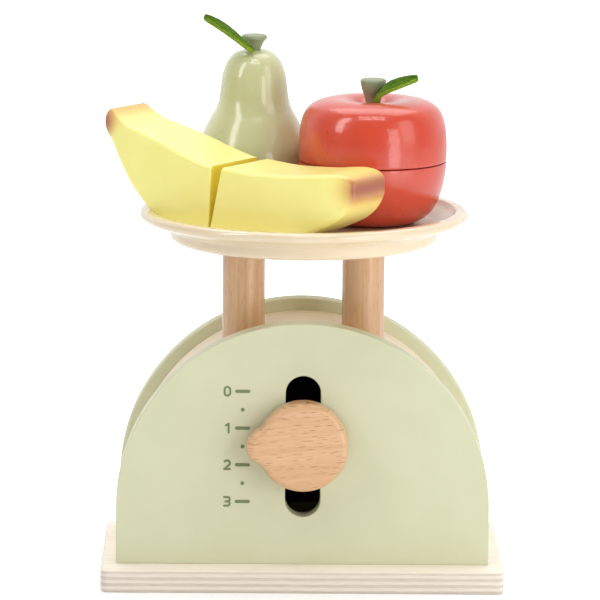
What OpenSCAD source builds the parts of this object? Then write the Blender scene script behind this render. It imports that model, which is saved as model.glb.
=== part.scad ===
// Wooden balance scale toy: a spring tray on two posts, a pointer knob in a
// slotted arch, and wooden play fruit on the tray.
// Millimetres. Origin at the middle of the base's underside, +Z up, -Y the dial side.

/* [Base] */
// Width of the base board
base_w = 160; // [150:1:200]
// Depth of the base board
base_d = 94; // [88:1:120]
// Thickness of the base board
base_h = 9; // [7:0.5:14]
// Radius of the base board's upright corners
base_corner_r = 3; // [1:0.5:8]

/* [Housing] */
// Radius of the arch of the front and rear panels
arch_r = 74.25; // [72:0.25:75]
// Height of the straight sides under the arch
arch_side_h = 23; // [20:0.5:27]
// Thickness of the front and rear panels
panel_t = 9; // [7:0.5:10]
// Depth of the housing, front face to rear face
housing_d = 68; // [62:0.5:80]
// Thickness of the bent wooden band between the panels
band_t = 8; // [5:0.5:9]
// Step from the panels' edge down to the band's outer face
band_inset = 4.8; // [3:0.1:7]

/* [Dial] */
// Width of the pointer slot
slot_w = 14; // [13.2:0.1:16]
// Length of the pointer slot, end to end
slot_len = 57; // [54:0.5:58]
// Height of the slot's middle above the base board
slot_mid_h = 47.8; // [46:0.1:49]
// Number of whole steps on the scale
mark_steps = 3; // [3:1:3]
// Distance from the slot's centre line to the near end of the tick marks
tick_offset = 21; // [19.5:0.1:23]
// Length of a tick mark
tick_len = 6; // [4:0.1:8]
// Thickness of a tick mark
tick_t = 1.3; // [0.8:0.1:2]
// Diameter of the dots half way between the ticks
dot_d = 1.5; // [1:0.1:2.4]
// Height of the printed figures
digit_h = 4.3; // [3:0.1:6]
// Width of the printed figures
digit_w = 3; // [2.2:0.1:4]
// Width of the figures' strokes
digit_stroke = 0.8; // [0.4:0.05:1]
// Gap between a tick mark and the middle of its figure
digit_gap = 3.1; // [2.8:0.1:4]
// Thickness of the printed ink
ink_t = 0.15; // [0.1:0.05:0.4]

/* [Carriage] */
// Reading of the pointer with the fruit on the tray, as a share of one step
rest_reading_share = 1.4; // [0.6:0.1:1.8]
// Diameter of the two posts
post_d = 17; // [14:0.5:18]
// Distance between the posts' axes
post_spacing = 48; // [40:0.5:56]
// Length of a post, slide block to tray
post_l = 73.4; // [70:0.2:84]
// Radial clearance of a post in the band's hole
post_clear = 0.5; // [0.3:0.05:1]
// Width of the slide block
block_w = 68; // [66:1:70]
// Depth of the slide block
block_d = 26; // [24:0.5:32]
// Height of the slide block under the posts
block_h = 16; // [14:0.5:17]
// Height of the posts' seats above the shaft's axis
block_rise = 3; // [1:0.5:3.5]
// Width of the slide block's raised middle, which holds the shaft
hub_w = 28; // [22:0.5:30]
// Height of the raised middle above the shaft's axis
hub_rise = 10; // [8:0.5:12]
// Radius of the slide block's upright corners
block_corner_r = 2; // [1:0.5:4]

/* [Pointer knob] */
// Radius of the knob
knob_r = 17.9; // [16:0.1:19]
// Thickness of the knob
knob_t = 10; // [8:0.5:12]
// Radius of the knob's pointer nose
nose_r = 6.9; // [5:0.1:7]
// Distance from the knob's centre to the tip of the nose
nose_reach = 22.6; // [20.6:0.1:23]
// Air gap between the knob and the front panel
knob_gap = 1; // [0.5:0.1:2]
// Diameter of the knob's shaft
shaft_d = 12.4; // [10:0.1:12.8]
// Depth of the shaft's socket in the knob
knob_socket = 6; // [4:0.5:7]
// Depth of the shaft's socket in the slide block
block_socket = 16; // [13:0.5:18]

/* [Springs] */
// Diameter of the spring wire
spring_wire_d = 1.2; // [0.8:0.1:1.4]
// Mean diameter of a spring's coil
spring_coil_d = 13; // [12:0.1:15]
// Number of turns in a spring
spring_turns = 7; // [5:1:8]
// Radius of the peg that centres a spring
peg_r = 4.8; // [4:0.1:4.9]
// Height of the peg above the base board
peg_h = 8; // [5:0.5:10]
// Radius of the peg's tail in the base board
peg_tail_r = 3; // [2:0.1:3.5]
// Depth of the peg's tail in the base board
peg_tail_l = 6; // [4:0.5:6.5]

/* [Tray] */
// Diameter of the tray
tray_d = 131.2; // [130:0.2:140]
// Height of the tray from its underside to its rim
tray_h = 12.6; // [11:0.1:15]
// Thickness of the tray's floor
tray_floor = 6; // [5.2:0.1:6.6]
// Diameter of the tray's foot
tray_foot_d = 107; // [98:0.5:108]
// Height of the tray's foot, up to the rim's underside
tray_foot_h = 4.4; // [2.4:0.1:4.6]
// Width of the tray's raised rim
tray_rim_w = 5; // [4.4:0.1:5.6]
// Width of the sloping wall between the tray's floor and its rim
tray_slope_w = 8; // [7:0.1:9]
// Thickness of the rim's rolled edge
tray_lip = 4; // [3:0.1:4.2]

/* [Screws] */
// Diameter of the screws' shanks
screw_d = 3.6; // [3:0.1:4]
// Diameter of the screws' heads
screw_head_d = 7; // [6:0.1:7.6]
// Depth of the screws' heads
screw_head_h = 2; // [1.6:0.1:2.4]
// Depth of the heads under the surface
screw_sink = 0.3; // [0.1:0.1:0.6]
// Length of the screws in the tray and the base board
screw_l = 22; // [18:0.5:24]
// Length of the screws in the slide block
block_screw_l = 16; // [14:0.5:17]
// Distance between the base screws along the width
base_screw_span = 100; // [80:1:120]
// Depth that the slide block's screw heads are let in
counterbore_l = 3; // [2.8:0.1:4]

/* [Apple] */
// Diameter of the apple
apple_d = 59.4; // [54:0.2:60]
// Height of the apple
apple_h = 50; // [46:0.2:56]
// Height of the apple's cut above the tray floor
apple_cut_h = 25; // [22:0.2:28]

/* [Pear] */
// Diameter of the pear
pear_d = 47.2; // [42:0.2:48]
// Height of the pear
pear_h = 66.4; // [60:0.2:72]

/* [Banana] */
// Angle between the banana's length and the dial face
banana_turn = 35; // [34:0.5:36]
// Thickness of the banana's slab
banana_t = 32.5; // [29:0.5:33]
// Length of the banana's right half, cut to tip
banana_l = 67; // [60:0.2:68]
// Height of the banana's raised tip
banana_h = 45.6; // [42:0.2:48]
// Rounding of the banana's long edges
banana_edge_r = 4; // [2:0.5:4]

/* [Stems and leaves] */
// Radius of a stem's flared top
stem_r = 5.1; // [4.4:0.1:5.6]
// Radius of a stem's peg
stem_peg_r = 2.6; // [2:0.1:3]
// Depth of a stem's peg in its fruit
stem_peg_l = 6; // [4:0.5:9]
// Height of the apple's stem above its hollow
apple_stem_h = 12.2; // [10:0.1:14]
// Height of the pear's stem above its top
pear_stem_h = 6; // [5:0.1:8]
// Thickness of the felt leaves
leaf_t = 2; // [1.2:0.1:2.6]
// Width of the felt leaves
leaf_w = 8.4; // [6:0.1:10]
// Reach of the apple's leaf from its stem's axis
apple_leaf_reach = 17.6; // [15:0.1:20]
// Rise of the apple's leaf from its root to its tip
apple_leaf_rise = 10; // [9:0.1:12]
// Reach of the pear's leaf from its stem's axis
pear_leaf_reach = 20; // [15:0.1:22]
// Rise of the pear's leaf from its root to its tip
pear_leaf_rise = 13; // [10:0.1:16]

/* [Hook and loop discs] */
// Diameter of the hook and loop discs
disc_d = 15; // [12:0.5:18]
// Thickness of one disc
disc_t = 1.2; // [0.9:0.1:1.6]
// How far a disc stands out of its cut face
disc_proud = 0.2; // [0.1:0.05:0.3]

/* [Fits] */
// Radial clearance of glued and screwed pieces
glue_gap = 0.05; // [0.02:0.01:0.1]
// Clearance between the play fruit, and between fruit and rim
fruit_gap = 1; // [0.6:0.1:2]

/* [Hidden] */
$fn = 96;
overrun = 1;

housing_y = housing_d / 2;
inner_y = housing_y - panel_t;
arch_z = base_h + arch_side_h;
band_r = arch_r - band_inset;

shaft_r = shaft_d / 2;
slot_mid_z = base_h + slot_mid_h;
slot_travel = slot_len - shaft_d;
mark_step = slot_travel / mark_steps;
zero_z = slot_mid_z + slot_travel / 2;
shaft_z = zero_z - rest_reading_share * mark_step;

post_r = post_d / 2;
post_x = post_spacing / 2;
block_top_z = shaft_z + block_rise;
block_z = block_top_z - block_h;
tray_z = block_top_z + post_l;
floor_z = tray_z + tray_floor;
tray_r = tray_d / 2;
foot_r = tray_foot_d / 2;
dish_r = tray_r - tray_rim_w;
floor_r = dish_r - tray_slope_w;
knob_y = -(housing_y + knob_gap);
block_y = block_d / 2;

spring_l = block_z - base_h;
spring_r = spring_coil_d / 2;
wire_r = spring_wire_d / 2;
spring_rings = 8;
spring_sides = 6;
spring_climb = (spring_l - 2 * spring_wire_d) / spring_turns;

screw_r = screw_d / 2;
screw_head_r = screw_head_d / 2;
screw_slot_w = screw_d / 5;

disc_r = disc_d / 2;
apple_r = apple_d / 2;
pear_r = pear_d / 2;

// The banana's length runs along u and its thickness along v, both turned in plan.
// Its front face lies this share of the dish's radius in front of the tray's middle.
banana_front_share = 0.69;
banana_front_v = -banana_front_share * dish_r;
banana_back_v = banana_front_v + banana_t;
// Place of the banana's cut along u, as a share of the dish's radius
banana_cut_share = 0.288;
banana_cut_u = -banana_cut_share * dish_r;
// The pear stands behind the banana, this share of the dish's radius along u
pear_place_share = 0.587;
pear_u = -pear_place_share * dish_r;
pear_v = banana_back_v + fruit_gap + pear_r;
// The apple stands behind the banana and beside the pear
apple_v = banana_back_v + 2 * fruit_gap + apple_r;
fruit_reach = pear_r + apple_r + fruit_gap / 2;
apple_u = pear_u + sqrt(pow(fruit_reach, 2) - pow(apple_v - pear_v, 2));

// Half outlines of the turned fruit, as shares of radius and height
apple_shares = [[0, 0.035], [0.25, 0.02], [0.45, 0], [0.66, 0.03], [0.82, 0.11], [0.92, 0.23],
                [0.985, 0.40], [1, 0.56], [0.995, 0.70], [0.965, 0.82], [0.90, 0.91],
                [0.79, 0.965], [0.63, 0.995], [0.47, 1], [0.33, 0.985], [0.20, 0.945],
                [0.1, 0.92], [0, 0.915]];
pear_shares = [[0, 0], [0.50, 0], [0.70, 0.035], [0.88, 0.13], [0.985, 0.24], [1, 0.32],
               [0.965, 0.41], [0.87, 0.49], [0.75, 0.575], [0.655, 0.635], [0.60, 0.69],
               [0.573, 0.75], [0.553, 0.81], [0.525, 0.865], [0.46, 0.925], [0.36, 0.97],
               [0.24, 0.995], [0.12, 1], [0, 1]];
apple_hollow_share = 0.915;
// Side views of the leaves, root to tip, as shares of their reach and rise
apple_leaf_shares = [[0.03, 0], [0.12, 0.27], [0.28, 0.56], [0.53, 0.76], [0.78, 0.90], [1, 1]];
pear_leaf_shares = [[0.03, -0.08], [0.20, 0.14], [0.38, 0.38], [0.57, 0.61], [0.78, 0.82], [1, 1]];
// Angles of the sine that gives a leaf its width, at its root and from there to its tip
leaf_root_angle = 18;
leaf_span_angle = 146;
// Stations along each banana half: shares of its length from the cut, of the height of
// its underside and of its top, and of its thickness
banana_left_shares = [[-0.862, 0.829, 0.912, 0.28], [-0.842, 0.763, 0.969, 0.42],
                      [-0.805, 0.689, 1, 0.50], [-0.757, 0.555, 0.991, 0.54],
                      [-0.70, 0.411, 0.94, 0.60], [-0.627, 0.296, 0.875, 0.67],
                      [-0.56, 0.222, 0.84, 0.73], [-0.425, 0.115, 0.80, 0.82],
                      [-0.313, 0.03, 0.75, 0.89], [-0.143, 0, 0.672, 0.98], [0, 0, 0.607, 1]];
banana_right_shares = [[0, 0, 0.603, 1], [0.172, 0, 0.601, 1], [0.336, 0, 0.596, 1],
                       [0.515, 0, 0.603, 0.98], [0.642, 0.022, 0.61, 0.95],
                       [0.731, 0.079, 0.618, 0.92], [0.836, 0.171, 0.627, 0.87],
                       [0.918, 0.263, 0.623, 0.80], [0.975, 0.355, 0.592, 0.70],
                       [1, 0.439, 0.537, 0.50]];
// Share of the length over which the cut's lean dies out
lean_share = 0.5;
// Lean of each half's cut face, its top towards the right half
cut_lean = 12.5;
cut_lean_left = 3;
// Height of the hook and loop discs on the banana's cut, as a share of its height
banana_disc_share = 0.30;

// Point a share t of the way from b to c, on a smooth curve through a, b, c and d
function curve_point(a, b, c, d, t) =
    (2 * b + (c - a) * t + (2 * a - 5 * b + 4 * c - d) * t * t
     + (3 * b - a - 3 * c + d) * t * t * t) / 2;

// Smooth line through points p, with n steps between neighbours
function smooth_line(p, n) =
    concat([for (i = [0 : len(p) - 2], k = [0 : n - 1])
                curve_point(p[max(i - 1, 0)], p[i], p[i + 1], p[min(i + 2, len(p) - 1)], k / n)],
           [p[len(p) - 1]]);

// Outline of a turned fruit, kept on its axis and above the tray floor
function turned_outline(shares, r, h) =
    [for (p = smooth_line(shares, 3)) [max(p[0], 0) * r, max(p[1], 0) * h]];

// Board outline with rounded corners
module rounded_rect(w, d, r) {
    square([w - 2 * r, d], center = true);
    square([w, d - 2 * r], center = true);
    for (x = [-1, 1], y = [-1, 1])
        translate([x * (w / 2 - r), y * (d / 2 - r)])
            circle(r);
}

// Arch outline on straight sides, drawn with its foot on the x axis
module arch_outline(r, side_h) {
    translate([-r, 0])
        square([2 * r, side_h]);
    translate([0, side_h])
        intersection() {
            circle(r, $fn = 180);
            translate([-r, 0])
                square([2 * r, r]);
        }
}

// Slot outline with round ends, upright and centred
module slot_outline(w, l) {
    square([w, l - w], center = true);
    for (s = [-1, 1])
        translate([0, s * (l - w) / 2])
            circle(w / 2);
}

// Stands a flat outline upright, from y0 backwards by t
module upright(y0, t) {
    translate([0, y0 + t, 0])
        rotate([90, 0, 0])
            linear_extrude(t)
                children();
}

// Countersunk screw, head at the origin and shank along +Z, grown by gap for its hole
module sunk_screw(l, gap = 0, cross = true) {
    difference() {
        rotate_extrude()
            polygon([[0, -gap], [screw_head_r + gap, -gap], [screw_head_r + gap, 0],
                     [screw_r + gap, screw_head_h], [screw_r + gap, l - screw_d],
                     [0, l + gap]]);
        if (cross)
            for (a = [0, 90])
                rotate([0, 0, a])
                    cube([screw_d, screw_slot_w, screw_head_h], center = true);
    }
}

// Pan head screw, the head's underside at the origin and the shank along +Z
module pan_screw(l) {
    difference() {
        rotate_extrude()
            polygon([[0, -screw_head_h], [screw_head_r * 0.7, -screw_head_h],
                     [screw_head_r, -screw_head_h / 2], [screw_head_r, 0], [screw_r, 0],
                     [screw_r, l - screw_d], [0, l]]);
        for (a = [0, 90])
            rotate([0, 0, a])
                translate([0, 0, -screw_head_h])
                    cube([screw_d, screw_slot_w, screw_head_h], center = true);
    }
}

// Pilot hole for a screw's shank
module pilot(l) {
    translate([0, 0, -overrun])
        cylinder(r = screw_r + glue_gap, h = l + overrun + glue_gap);
}

module at_base_screws() {
    for (x = [-1, 1], y = [-1, 1])
        translate([x * base_screw_span / 2, y * (housing_y - panel_t / 2), screw_sink])
            children();
}

module at_posts() {
    for (x = [-post_x, post_x])
        translate([x, 0, 0])
            children();
}

module base_board() {
    color([0.93, 0.87, 0.76])
        difference() {
            linear_extrude(base_h)
                rounded_rect(base_w, base_d, base_corner_r);
            at_base_screws() {
                sunk_screw(screw_l, glue_gap, false);
                mirror([0, 0, 1])
                    cylinder(r = screw_head_r + glue_gap, h = screw_sink + overrun);
                cylinder(r = screw_r + glue_gap, h = base_h);
            }
            at_posts()
                translate([0, 0, base_h - peg_tail_l])
                    cylinder(r = peg_tail_r + glue_gap, h = peg_tail_l + overrun);
        }
}

// Green arch panel with its face at y0; the front one has the pointer slot
module arch_panel(y0, slotted) {
    difference() {
        translate([0, 0, base_h])
            upright(y0, panel_t)
                difference() {
                    arch_outline(arch_r, arch_side_h);
                    if (slotted)
                        translate([0, slot_mid_h])
                            slot_outline(slot_w, slot_len);
                }
        at_base_screws()
            cylinder(r = screw_r + glue_gap, h = screw_l + glue_gap);
    }
}

module front_panel() {
    color([0.84, 0.85, 0.72])
        arch_panel(-housing_y, true);
}

module rear_panel() {
    color([0.84, 0.85, 0.72])
        arch_panel(inner_y, false);
}

module arch_band() {
    color([0.87, 0.76, 0.60])
        difference() {
            translate([0, 0, base_h])
                upright(-inner_y, 2 * inner_y)
                    difference() {
                        arch_outline(band_r, arch_side_h);
                        translate([0, -overrun])
                            arch_outline(band_r - band_t, arch_side_h + overrun);
                    }
            at_posts()
                translate([0, 0, arch_z])
                    cylinder(r = post_r + post_clear, h = arch_r);
        }
}

module base_screws() {
    color([0.72, 0.72, 0.70])
        at_base_screws()
            sunk_screw(screw_l);
}

module spring_pegs() {
    color([0.86, 0.72, 0.53])
        at_posts()
            translate([0, 0, base_h - peg_tail_l]) {
                cylinder(r = peg_tail_r, h = peg_tail_l + peg_h / 2);
                translate([0, 0, peg_tail_l])
                    cylinder(r = peg_r, h = peg_h);
            }
}

// Centre line of a spring: a straight foot, the coil and a straight top
spring_steps = spring_turns * spring_rings;
spring_path = concat(
    [[spring_r, 0, 0]],
    [for (i = [0 : spring_steps])
        [spring_r * cos(360 * i / spring_rings), spring_r * sin(360 * i / spring_rings),
         spring_wire_d + spring_climb * i / spring_rings]],
    [[spring_r, 0, spring_l]]);

function unit(v) = v / norm(v);

// Direction of the wire at point i, upright at both ends
function wire_way(i) =
    (i == 0 || i == len(spring_path) - 1) ? [0, 0, 1]
    : unit(spring_path[i + 1] - spring_path[i - 1]);

// Direction away from the coil's axis at point i
function wire_out(i) = unit([spring_path[i][0], spring_path[i][1], 0]);

// Ring of points round the wire at point i
function wire_ring(i) =
    let (side = unit(cross(wire_way(i), wire_out(i))), out = cross(side, wire_way(i)))
    [for (k = [0 : spring_sides - 1])
        spring_path[i] + wire_r * (cos(360 * k / spring_sides) * out
                                   + sin(360 * k / spring_sides) * side)];

// Least gap between turns, measured on all pairs of points over half a turn apart
spring_gap = min([for (i = [0 : len(spring_path) - 1], j = [0 : len(spring_path) - 1])
                      if (j - i > spring_rings / 2)
                          norm(spring_path[i] - spring_path[j])]) - spring_wire_d;
echo(least_spring_gap_mm = spring_gap);

// Closed skin over a row of rings of points
module loft(rings) {
    m = len(rings[0]);
    last = len(rings) - 1;
    walls = [for (i = [0 : last - 1], k = [0 : m - 1])
                 each [[i * m + k, (i + 1) * m + k, i * m + (k + 1) % m],
                       [i * m + (k + 1) % m, (i + 1) * m + k, (i + 1) * m + (k + 1) % m]]];
    caps = [for (k = [1 : m - 2])
                each [[0, k, k + 1], [last * m, last * m + k + 1, last * m + k]]];
    polyhedron([for (r = rings) each r], concat(walls, caps));
}

module spring() {
    loft([for (i = [0 : len(spring_path) - 1]) wire_ring(i)]);
}

module left_spring() {
    color([0.75, 0.76, 0.78])
        translate([-post_x, 0, base_h])
            spring();
}

module right_spring() {
    color([0.75, 0.76, 0.78])
        translate([post_x, 0, base_h])
            spring();
}

// Part of a ring between two angles
module ring_arc(r, w, a0, a1) {
    intersection() {
        difference() {
            circle(r + w / 2, $fn = 48);
            circle(r - w / 2, $fn = 48);
        }
        polygon(concat([[0, 0]], [for (k = [0 : 4])
            let (a = a0 + (a1 - a0) * k / 4) 2 * (r + w) * [cos(a), sin(a)]]));
    }
}

// Straight pen stroke with round ends
module pen(a, b, w) {
    translate(a)
        rotate(atan2(b[1] - a[1], b[0] - a[0]))
            translate([0, -w / 2])
                square([norm(b - a), w]);
    for (p = [a, b])
        translate(p)
            circle(w / 2, $fn = 24);
}

module digit(n) {
    w = digit_stroke;
    half_h = (digit_h - w) / 2;
    half_w = (digit_w - w) / 2;
    if (n == 0) {
        for (s = [0, 180])
            rotate(s)
                translate([0, half_h - half_w])
                    ring_arc(half_w, w, 0, 180);
        for (s = [-1, 1])
            translate([s * half_w - w / 2, half_w - half_h])
                square([w, 2 * (half_h - half_w)]);
    }
    if (n == 1) {
        pen([half_w / 2, -half_h], [half_w / 2, half_h], w);
        pen([half_w / 2, half_h], [-half_w / 2, half_h * 0.6], w);
    }
    if (n == 2) {
        start_angle = 165;
        end_angle = -30;
        bow_y = half_h - half_w;
        translate([0, bow_y])
            ring_arc(half_w, w, end_angle, start_angle);
        pen([half_w * cos(end_angle), bow_y + half_w * sin(end_angle)], [-half_w, -half_h], w);
        pen([-half_w, -half_h], [half_w, -half_h], w);
    }
    if (n == 3) {
        bowl_r = half_h / 2;
        for (s = [-1, 1])
            mirror([0, (1 - s) / 2])
                translate([half_w - bowl_r, bowl_r]) {
                    ring_arc(bowl_r, w, -90, 90);
                    pen([0, bowl_r], [bowl_r - 2 * half_w, bowl_r], w);
                }
        pen([half_w - bowl_r, 0], [-half_w / 2, 0], w);
    }
}

module dial_marks() {
    color([0.46, 0.54, 0.36])
        upright(-housing_y - ink_t, ink_t)
            for (n = [0 : mark_steps])
                translate([0, zero_z - n * mark_step]) {
                    pen([-tick_offset - tick_t / 2, 0],
                        [tick_t / 2 - tick_offset - tick_len, 0], tick_t);
                    translate([-tick_offset - tick_len - digit_gap, 0])
                        digit(n);
                    if (n < mark_steps)
                        translate([-tick_offset - tick_len / 2, -mark_step / 2])
                            circle(dot_d / 2, $fn = 32);
                }
}

module slide_block() {
    color([0.16, 0.12, 0.09])
        difference() {
            translate([0, 0, block_z]) {
                linear_extrude(block_h)
                    rounded_rect(block_w, block_d, block_corner_r);
                linear_extrude(block_h - block_rise + hub_rise)
                    rounded_rect(hub_w, block_d, block_corner_r);
            }
            translate([0, block_socket - block_y, shaft_z])
                rotate([90, 0, 0])
                    cylinder(r = shaft_r + glue_gap, h = block_socket + overrun);
            translate([0, block_y + overrun, shaft_z])
                rotate([90, 0, 0]) {
                    cylinder(r = screw_r + glue_gap, h = block_d);
                    cylinder(r = screw_head_r + glue_gap, h = counterbore_l + overrun);
                }
            at_posts()
                translate([0, 0, block_z - overrun]) {
                    cylinder(r = screw_r + glue_gap, h = block_h + 2 * overrun);
                    cylinder(r = screw_head_r + glue_gap, h = counterbore_l + overrun);
                }
        }
}

// Post screws pass through the block and bite the post as deep as a short screw
long_screw_l = block_h + block_screw_l - counterbore_l;

module post() {
    difference() {
        translate([0, 0, block_top_z])
            cylinder(r = post_r, h = post_l);
        translate([0, 0, block_top_z])
            pilot(block_screw_l);
        translate([0, 0, tray_z])
            mirror([0, 0, 1])
                pilot(screw_l - tray_floor);
    }
}

module left_post() {
    color([0.80, 0.62, 0.44])
        translate([-post_x, 0, 0])
            post();
}

module right_post() {
    color([0.80, 0.62, 0.44])
        translate([post_x, 0, 0])
            post();
}

module post_screws() {
    color([0.72, 0.72, 0.70])
        at_posts()
            translate([0, 0, block_z + counterbore_l])
                pan_screw(long_screw_l);
}

// Half outline of the tray: foot, flared rim with a rolled edge, sloping dish wall
module tray_outline() {
    lip_r = tray_lip / 2;
    polygon([[0, 0], [foot_r - lip_r, 0], [foot_r - lip_r / 4, lip_r / 4], [foot_r, lip_r],
             [foot_r, tray_foot_h], [tray_r - lip_r, tray_h - tray_lip],
             [tray_r - lip_r, tray_h], [dish_r + lip_r / 3, tray_h],
             [dish_r, tray_h - lip_r / 3], [dish_r - lip_r / 6, tray_h - 0.8 * lip_r],
             [dish_r - 0.8 * lip_r, tray_h - 1.3 * lip_r],
             [floor_r + lip_r / 2, tray_floor + lip_r / 8], [floor_r, tray_floor],
             [0, tray_floor]]);
    translate([tray_r - lip_r, tray_h - lip_r])
        circle(lip_r, $fn = 48);
}

module tray() {
    color([0.95, 0.89, 0.78])
        difference() {
            translate([0, 0, tray_z])
                rotate_extrude($fn = 180)
                    tray_outline();
            at_posts()
                translate([0, 0, floor_z - screw_sink])
                    mirror([0, 0, 1]) {
                        sunk_screw(screw_l, glue_gap, false);
                        mirror([0, 0, 1])
                            cylinder(r = screw_head_r + glue_gap, h = screw_sink + overrun);
                    }
        }
}

module tray_screws() {
    color([0.72, 0.72, 0.70])
        at_posts()
            translate([0, 0, floor_z - screw_sink])
                mirror([0, 0, 1])
                    sunk_screw(screw_l - 2 * screw_sink);
}

// Round knob with a blunt nose to the left, joined by two short flanks
knob_flank_angle = 153;
nose_flank_angle = 120;
flank_share = 0.985;

module knob_outline() {
    nose_x = nose_r - nose_reach;
    knob_side = flank_share * knob_r * [cos(knob_flank_angle), sin(knob_flank_angle)];
    nose_side = flank_share * nose_r * [cos(nose_flank_angle), sin(nose_flank_angle)];
    circle(knob_r, $fn = 128);
    translate([nose_x, 0])
        circle(nose_r, $fn = 64);
    polygon([knob_side, [nose_x, 0] + nose_side, [nose_x + nose_side[0], -nose_side[1]],
             [knob_side[0], -knob_side[1]]]);
}

module knob() {
    color([0.90, 0.73, 0.57])
        translate([0, 0, shaft_z])
            difference() {
                upright(knob_y - knob_t, knob_t)
                    knob_outline();
                translate([0, knob_y + overrun, 0])
                    rotate([90, 0, 0])
                        cylinder(r = shaft_r + glue_gap, h = knob_socket + overrun);
            }
}

module knob_shaft() {
    shaft_y = knob_y - knob_socket;
    shaft_end_y = block_socket - block_y;
    color([0.85, 0.68, 0.50])
        translate([0, shaft_end_y, shaft_z])
            rotate([90, 0, 0])
                difference() {
                    cylinder(r = shaft_r, h = shaft_end_y - shaft_y);
                    pilot(block_screw_l);
                }
}

module shaft_screw() {
    color([0.72, 0.72, 0.70])
        translate([0, block_y - counterbore_l, shaft_z])
            rotate([90, 0, 0])
                pan_screw(block_screw_l);
}

// Carries a child from the banana's own directions to its place on the tray floor
module on_tray(u, v) {
    translate([0, 0, floor_z])
        rotate([0, 0, -banana_turn])
            translate([u, v, 0])
                rotate([0, 0, banana_turn])
                    children();
}

module apple_solid() {
    rotate_extrude()
        polygon(turned_outline(apple_shares, apple_r, apple_h));
}

module apple_lower() {
    color([0.83, 0.33, 0.26])
        on_tray(apple_u, apple_v)
            difference() {
                intersection() {
                    apple_solid();
                    cylinder(r = apple_d, h = apple_cut_h);
                }
                translate([0, 0, apple_cut_h + disc_proud - disc_t])
                    cylinder(r = disc_r + glue_gap, h = disc_t);
            }
}

module apple_upper() {
    color([0.83, 0.33, 0.26])
        on_tray(apple_u, apple_v)
            difference() {
                apple_solid();
                translate([0, 0, -overrun])
                    cylinder(r = apple_d, h = apple_cut_h + 2 * disc_proud + overrun);
                cylinder(r = disc_r + glue_gap, h = apple_cut_h + disc_proud + disc_t);
                translate([0, 0, apple_hollow_share * apple_h - stem_peg_l])
                    cylinder(r = stem_peg_r + glue_gap, h = apple_h);
            }
}

module apple_loop_disc() {
    color([0.85, 0.83, 0.78])
        on_tray(apple_u, apple_v)
            translate([0, 0, apple_cut_h + disc_proud - disc_t])
                cylinder(r = disc_r, h = disc_t);
}

module apple_hook_disc() {
    color([0.80, 0.78, 0.73])
        on_tray(apple_u, apple_v)
            translate([0, 0, apple_cut_h + disc_proud])
                cylinder(r = disc_r, h = disc_t);
}

// Flared dowel stem that stands h above the wood, with its peg below
module stem(h) {
    bevel = stem_r - stem_peg_r;
    rotate_extrude($fn = 64)
        polygon([[0, -stem_peg_l], [stem_peg_r, -stem_peg_l], [stem_peg_r, h / 12],
                 [stem_peg_r + bevel * 0.35, h * 0.4], [stem_r, h - bevel / 2],
                 [stem_r, h - bevel / 5], [stem_r - bevel / 5, h], [0, h]]);
}

module at_apple_stem() {
    on_tray(apple_u, apple_v)
        translate([0, 0, apple_hollow_share * apple_h])
            children();
}

module at_pear_stem() {
    on_tray(pear_u, pear_v)
        translate([0, 0, pear_h])
            children();
}

module apple_stem() {
    color([0.50, 0.54, 0.43])
        at_apple_stem()
            stem(apple_stem_h);
}

module pear_stem() {
    color([0.50, 0.54, 0.43])
        at_pear_stem()
            stem(pear_stem_h);
}

// Felt strip through points of shares, root to tip, widest near its middle
module leaf(shares, reach, rise) {
    p = [for (q = smooth_line(shares, 2)) [q[0] * reach, 0, q[1] * rise]];
    last = len(p) - 1;
    loft([for (i = [0 : last])
              let (way = unit(p[min(i + 1, last)] - p[max(i - 1, 0)]),
                   half_w = leaf_w / 2 * sin(leaf_root_angle + leaf_span_angle * i / last),
                   side = [0, half_w, 0],
                   up = leaf_t / 2 * [-way[2], 0, way[0]])
              [p[i] + side - up, p[i] + side + up, p[i] - side + up, p[i] - side - up]]);
}

// Places of the leaves' roots: in front of the stems, and above their feet
leaf_forward = stem_r * 1.45;
apple_leaf_seat = leaf_t * 1.8;
pear_leaf_seat = leaf_t * 0.7;

module apple_leaf() {
    color([0.36, 0.50, 0.14])
        at_apple_stem()
            translate([0, -leaf_forward, apple_leaf_seat])
                leaf(apple_leaf_shares, apple_leaf_reach, apple_leaf_rise);
}

module pear_solid() {
    rotate_extrude()
        polygon(turned_outline(pear_shares, pear_r, pear_h));
}

module pear_body() {
    color([0.78, 0.80, 0.64])
        on_tray(pear_u, pear_v)
            difference() {
                pear_solid();
                translate([0, 0, pear_h - stem_peg_l])
                    cylinder(r = stem_peg_r + glue_gap, h = stem_peg_l + overrun);
            }
}

module pear_leaf() {
    color([0.36, 0.50, 0.14])
        at_pear_stem()
            translate([0, -leaf_forward, pear_leaf_seat])
                mirror([1, 0, 0])
                    leaf(pear_leaf_shares, pear_leaf_reach, pear_leaf_rise);
}

banana_corner_steps = 4;

// Ring of points round a banana half at one station, leaning with the cut near it
function banana_station(p, lean) =
    let (low = p[1] * banana_h, high = p[2] * banana_h, half = p[3] * banana_t / 2,
         r = min(banana_edge_r, 0.49 * (high - low), 0.9 * half),
         near = max(0, 1 - abs(p[0]) / lean_share))
    [for (c = [0 : 3], k = [0 : banana_corner_steps])
        let (a = 90 * (c + k / banana_corner_steps), sy = (c == 0 || c == 3) ? 1 : -1,
             sz = c < 2 ? 1 : -1,
             z = (low + high) / 2 + sz * ((high - low) / 2 - r) + r * sin(a))
        [p[0] * banana_l + near * tan(lean) * z, banana_t / 2 + sy * (half - r) + r * cos(a), z]];

// Banana half through its stations, from its left end to its right end
module banana_half(shares, lean) {
    loft([for (p = shares) banana_station(p, lean)]);
}

// The banana's own frame: the foot of its cut, at the front face, on the tray floor
module at_banana() {
    translate([0, 0, floor_z])
        rotate([0, 0, -banana_turn])
            translate([banana_cut_u, banana_front_v, 0])
                children();
}

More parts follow.
